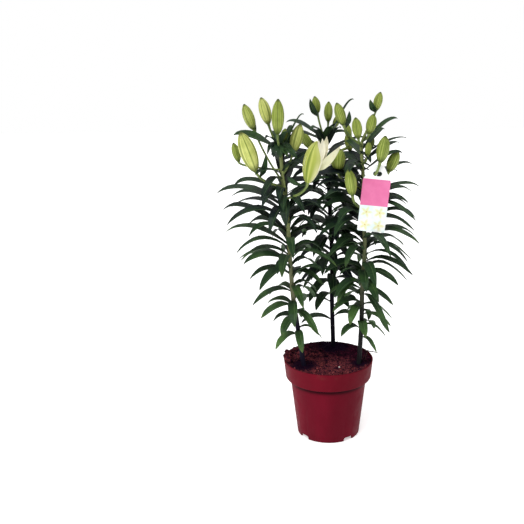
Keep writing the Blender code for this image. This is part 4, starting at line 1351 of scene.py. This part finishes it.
def select_corners(piece, wanted):
    """Selects, in edit mode, the corners that a rule picks by their place in millimetres."""
    select_only(piece)
    bpy.ops.object.mode_set(mode="EDIT")
    bpy.ops.mesh.select_mode(type="VERT")
    bpy.ops.mesh.select_all(action="DESELECT")
    bpy.ops.object.mode_set(mode="OBJECT")
    for corner in piece.data.vertices:
        corner.select = wanted(corner.co / MM)
    bpy.ops.object.mode_set(mode="EDIT")


def round_corners(piece, wanted, radius, steps):
    select_corners(piece, wanted)
    bpy.ops.mesh.bevel(offset=radius * MM, segments=steps, affect="VERTICES")
    bpy.ops.object.mode_set(mode="OBJECT")


def above_shoulder(place):
    return place.z > LABEL_SHOULDER - 1.0


card = add_mesh("plant_label", bpy.ops.mesh.primitive_plane_add, size=1.0, rotation=(math.pi / 2, 0.0, 0.0),
                location=(0.0, 0.0, LABEL_SHOULDER * MM / 2))
card.scale = (2 * LABEL_HALF_WIDTH * MM, LABEL_SHOULDER * MM, 1.0)
settle(card)
select_corners(card, above_shoulder)
lift = (0.0, 0.0, (LABEL_TOP - LABEL_SHOULDER) * MM)
taper = (LABEL_TOP_HALF_WIDTH / LABEL_HALF_WIDTH, 1.0, 1.0)
bpy.ops.mesh.extrude_region_move(TRANSFORM_OT_translate={"value": lift})
bpy.ops.transform.resize(value=taper, center_override=(0.0, 0.0, 0.0))
bpy.ops.object.mode_set(mode="OBJECT")
round_corners(card, lambda place: place.z < 1.0, LABEL_CORNER, 6)
round_corners(card, above_shoulder, LABEL_TOP_CORNER, 4)
bpy.ops.object.mode_set(mode="EDIT")
face_outward()
apply_modifier(card, "SOLIDIFY", thickness=LABEL_THICKNESS * MM, offset=0.0)
slot = add_mesh("slot", bpy.ops.mesh.primitive_cube_add, size=1.0, location=(0.0, 0.0, SLOT_HEIGHT * MM))
slot.scale = ((2 * SLOT_HALF_LENGTH + 2 * SLOT_RADIUS) * MM, 6.0 * MM, 2 * SLOT_RADIUS * MM)
settle(slot)
bpy.ops.object.mode_set(mode="EDIT")
bpy.ops.mesh.select_all(action="DESELECT")
bpy.ops.mesh.select_mode(type="EDGE")
bpy.ops.object.mode_set(mode="OBJECT")
for edge in slot.data.edges:
    ends = [slot.data.vertices[number].co for number in edge.vertices]
    edge.select = abs(ends[0].y - ends[1].y) > 3.0 * MM
bpy.ops.object.mode_set(mode="EDIT")
bpy.ops.mesh.bevel(offset=(SLOT_RADIUS - 0.1) * MM, segments=8)
bpy.ops.object.mode_set(mode="OBJECT")
cut(card, slot)
mark(card, "label_across", [corner.co.x / MM for corner in card.data.vertices])
mark(card, "label_up", [corner.co.z / MM for corner in card.data.vertices])

tilt = math.radians(LABEL_TILT)
label_right = Vector((math.cos(tilt), 0.0, -math.sin(tilt)))
label_rise = Vector((math.sin(tilt), 0.0, math.cos(tilt)))
hook = label_hook(stalks["right", "outer"])
slot_place = Vector((hook.x, LABEL_PLANE, hook.z)) + label_right * SLOT_HANG[0] - label_rise * SLOT_HANG[1]
label_foot = slot_place - label_rise * SLOT_HEIGHT
card.location = label_foot * MM
card.rotation_euler = (0.0, tilt, 0.0)
settle(card)
smooth(card, 30.0)
print("label foot:", [round(value, 1) for value in label_foot])

# %% [markdown]
# The card is printed: white at the top, a pink block, and a pale lower block with four pale rosettes in two
# rows. An image could be laid on it. Here a rosette is worked out from how far a point is from the middle of
# its own square, and at which turn, so it needs no file and stays sharp from near by.

# %% Label finish
PINK_LOW = 52.0
PINK_HIGH = 105.0
ROSETTE_SQUARE = 26.0


def label_finish():
    finish = Finish("label_print", 0.3)
    up = finish.mark("label_up")
    offsets = []
    for run in (finish.mark("label_across"), up):
        moved = finish.plus(run, 2 * ROSETTE_SQUARE)
        shares = finish.maths("FRACT", finish.times(moved, 1 / ROSETTE_SQUARE))
        offsets.append(finish.maths("SUBTRACT", shares, 0.5))
    squares = [finish.times(offset, offset) for offset in offsets]
    reach = finish.maths("SQRT", finish.plus(*squares))
    turn = finish.maths("ARCTAN2", offsets[1], offsets[0])
    lobes = finish.times(finish.maths("COSINE", finish.times(turn, 5.0)), 0.12)
    petal = finish.spread(finish.maths("SUBTRACT", reach, lobes), 0.14, 0.46, 1.0, 0.0)
    rays = finish.spread(finish.maths("COSINE", finish.times(turn, 25.0)), -0.2, 1.0, 0.4, 1.0)
    white = finish.two_tone((250, 253, 254), (255, 255, 255), finish.noise(30.0), 0.3, 0.7)
    pink = finish.two_tone((222, 106, 158), (231, 120, 170), finish.noise(45.0), 0.3, 0.7)
    finish.colour = finish.two_tone((226, 246, 246), (250, 252, 246), finish.noise(50.0), 0.35, 0.65)
    finish.over((226, 218, 120), finish.times(petal, rays))
    finish.over((206, 180, 92), finish.times(finish.spread(reach, 0.03, 0.08, 1.0, 0.0), 0.8))
    over_low = finish.spread(up, PINK_LOW, PINK_LOW + 0.4)
    in_pink = finish.times(over_low, finish.spread(up, PINK_HIGH, PINK_HIGH + 0.4, 1.0, 0.0))
    finish.colour = finish.mix(over_low, finish.colour, white)
    finish.colour = finish.mix(in_pink, finish.colour, pink)
    return finish.done(finish.bump(finish.noise(700.0), 0.02))


dress(card, label_finish(), "label_plastic", "label")

# %% [markdown]
# Under the compost are three bulbs, which nobody sees until the plant is taken apart. Their solids are right
# as they are, so they only get a finish: cream scales that darken to brown at their tips.

# %% Bulb finish
def bulb_finish():
    finish = Finish("bulb_scale", 0.6)
    streaks = finish.noise(180.0, (1.0, 1.0, 0.2), 4.0)
    finish.colour = finish.two_tone((226, 208, 164), (186, 150, 96), finish.axis("Z"), 0.035, 0.08)
    finish.shade((190, 160, 120), streaks, 0.4, 0.75, 0.0, 0.6)
    return finish.done(finish.bump(streaks, 0.4), finish.spread(streaks, 0.2, 0.8, 0.5, 0.7))


scales = bulb_finish()
for plant in STEMS:
    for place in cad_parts["bulb_" + plant].material_slots:
        place.material = scales

# %% [markdown]
# Small things make the bed look real: a thin twig over the rim, a few dry sprigs by the stems, and one white
# grain of perlite. The twig and sprigs could be bevelled curves. As rods laid from one blank, their paths
# get small crooks and their radii swell and shrink like wood. Vector noise starts at another place each time
# that Blender is opened, so it is given a seed first, and the crooks stay where they are.

# %% Twig, sprigs and a grain
TWIG = [(79.0, 40.0, 169.0), (91.0, 32.0, 170.2), (108.0, 20.0, 171.2)]
SPRIGS = [
    ([(-66, -6, 164), (-67, -7, 172), (-70, -9, 181), (-69, -12, 189)], 0.7),
    ([(-62, -2, 164), (-61, -4, 171), (-57, -6, 177)], 0.5),
    ([(78, -2, 164), (80, -1, 174), (84, 2, 184), (85, 3, 190)], 0.7),
    ([(74, 6, 164), (77, 8, 171), (82, 8, 176)], 0.5),
]
TWIG_RADIUS = 1.15
TWIG_SIDES = 8
TWIG_STEPS = 18
CROOK_SEED = 3
GRAIN = (23, -46, 166, 1.8)


def crooked_rod(name, points, radius, blank):
    path = even_run(smooth_run(points, 6), TWIG_STEPS)
    radii = []
    for k, point in enumerate(path):
        point += noise.noise_vector(point / 5.0) * radius * 0.5
        radii.append(radius * (1.0 - 0.5 * (k / TWIG_STEPS) ** 2 + 0.15 * math.sin(k * 2.1)))
    return lay(blank, round_rings(path, radii, TWIG_SIDES), name)


def grainy_finish(name, roughness, first, second, scale, detail, limits):
    """One colour broken up by another, with a grain to match."""
    finish = Finish(name, roughness)
    grain = finish.noise(scale, detail=detail)
    finish.colour = finish.two_tone(first, second, grain, *limits)
    return finish.done(finish.bump(grain, 0.3))


noise.seed_set(CROOK_SEED)
twig_blank = straight_blank("twig_blank", TWIG_SIDES, TWIG_STEPS)
twig = crooked_rod("twig_over_rim", TWIG, TWIG_RADIUS, twig_blank)
sprigs = join("dry_sprigs", [crooked_rod("sprig", points, size, twig_blank) for points, size in SPRIGS])
bpy.data.objects.remove(twig_blank.piece)
grain = clod("perlite_grain", *GRAIN)
for piece in (twig, sprigs, grain):
    smooth(piece, 60.0)

bark = grainy_finish("twig_bark", 0.85, (40, 18, 22), (84, 48, 44), 500.0, 5.0, (0.3, 0.7))
perlite = grainy_finish("perlite", 0.8, (196, 186, 176), (238, 234, 226), 900.0, 3.0, (0.3, 0.6))
dress(twig, bark, "twig_bark", "twig")
dress(sprigs, bark, "twig_bark")
dress(grain, perlite, "compost")

# %% [markdown]
# The studio is plain: a white surround, and a floor of white paper on a light table, whose faint glow leaves
# only a trace of shadow under the pot. A large soft lamp stands high in front on the left, a weak one on the
# right, and one high behind the plant. The camera stands where the photograph was taken from.

# %% Floor, lamps and camera
PAPER_GLOW = 0.45
SURROUND_LIGHT = 0.32
CAMERA_PLACE = (0.0, -1.900, 0.963)
CAMERA_YAW = 4.14
CAMERA_PITCH = 16.97
CAMERA_ROLL = -1.21
CAMERA_LENS = 65.75
CAMERA_SENSOR = 36.0

floor = add_mesh("studio_floor", bpy.ops.mesh.primitive_plane_add, size=8.0)
settle(floor)
paper = Finish("studio_paper", 0.9, 0.1)
paper.shader.inputs["Emission Color"].default_value = (1.0, 1.0, 1.0, 1.0)
paper.shader.inputs["Emission Strength"].default_value = PAPER_GLOW
paper.colour = paper.two_tone((247, 247, 247), (250, 250, 250), paper.noise(3.0))
floor.data.materials.append(paper.done(None))

world = bpy.data.worlds.new("studio_surround")
world.use_nodes = True
air = world.node_tree.nodes["Background"]
seen_by_camera = world.node_tree.nodes.new("ShaderNodeLightPath")
strength = world.node_tree.nodes.new("ShaderNodeMapRange")
strength.inputs["To Min"].default_value = SURROUND_LIGHT
strength.inputs["To Max"].default_value = 1.0
world.node_tree.links.new(seen_by_camera.outputs["Is Camera Ray"], strength.inputs["Value"])
world.node_tree.links.new(strength.outputs["Result"], air.inputs["Strength"])
air.inputs["Color"].default_value = (1.0, 1.0, 1.0, 1.0)
bpy.context.scene.world = world
bpy.context.scene.view_settings.view_transform = "Standard"


def soft_lamp(name, spot, spread, power):
    """A wide, far lamp that shines from a spot towards the plant."""
    bpy.ops.object.select_all(action="DESELECT")
    bpy.ops.object.light_add(type="SUN", location=spot)
    lamp = bpy.context.object
    lamp.name = name
    lamp.data.angle = math.radians(spread)
    lamp.data.energy = power
    lamp.rotation_euler = Vector(spot).to_track_quat("Z", "Y").to_euler()


soft_lamp("key_lamp", (-1.0, -1.6, 2.0), 40.0, 1.85)
soft_lamp("side_lamp", (1.7, -1.3, 1.6), 60.0, 0.35)
soft_lamp("top_lamp", (0.2, 0.9, 2.2), 60.0, 1.0)

bpy.ops.object.camera_add(location=CAMERA_PLACE)
camera = bpy.context.object
camera.data.lens = CAMERA_LENS
camera.data.sensor_width = CAMERA_SENSOR
turned = Matrix.Rotation(math.radians(CAMERA_YAW), 3, "Z")
turned = turned @ Matrix.Rotation(math.radians(90.0 - CAMERA_PITCH), 3, "X")
turned = turned @ Matrix.Rotation(math.radians(CAMERA_ROLL), 3, "Z")
camera.rotation_euler = turned.to_euler()
bpy.context.scene.camera = camera
print("camera:", [round(value, 3) for value in camera.location])
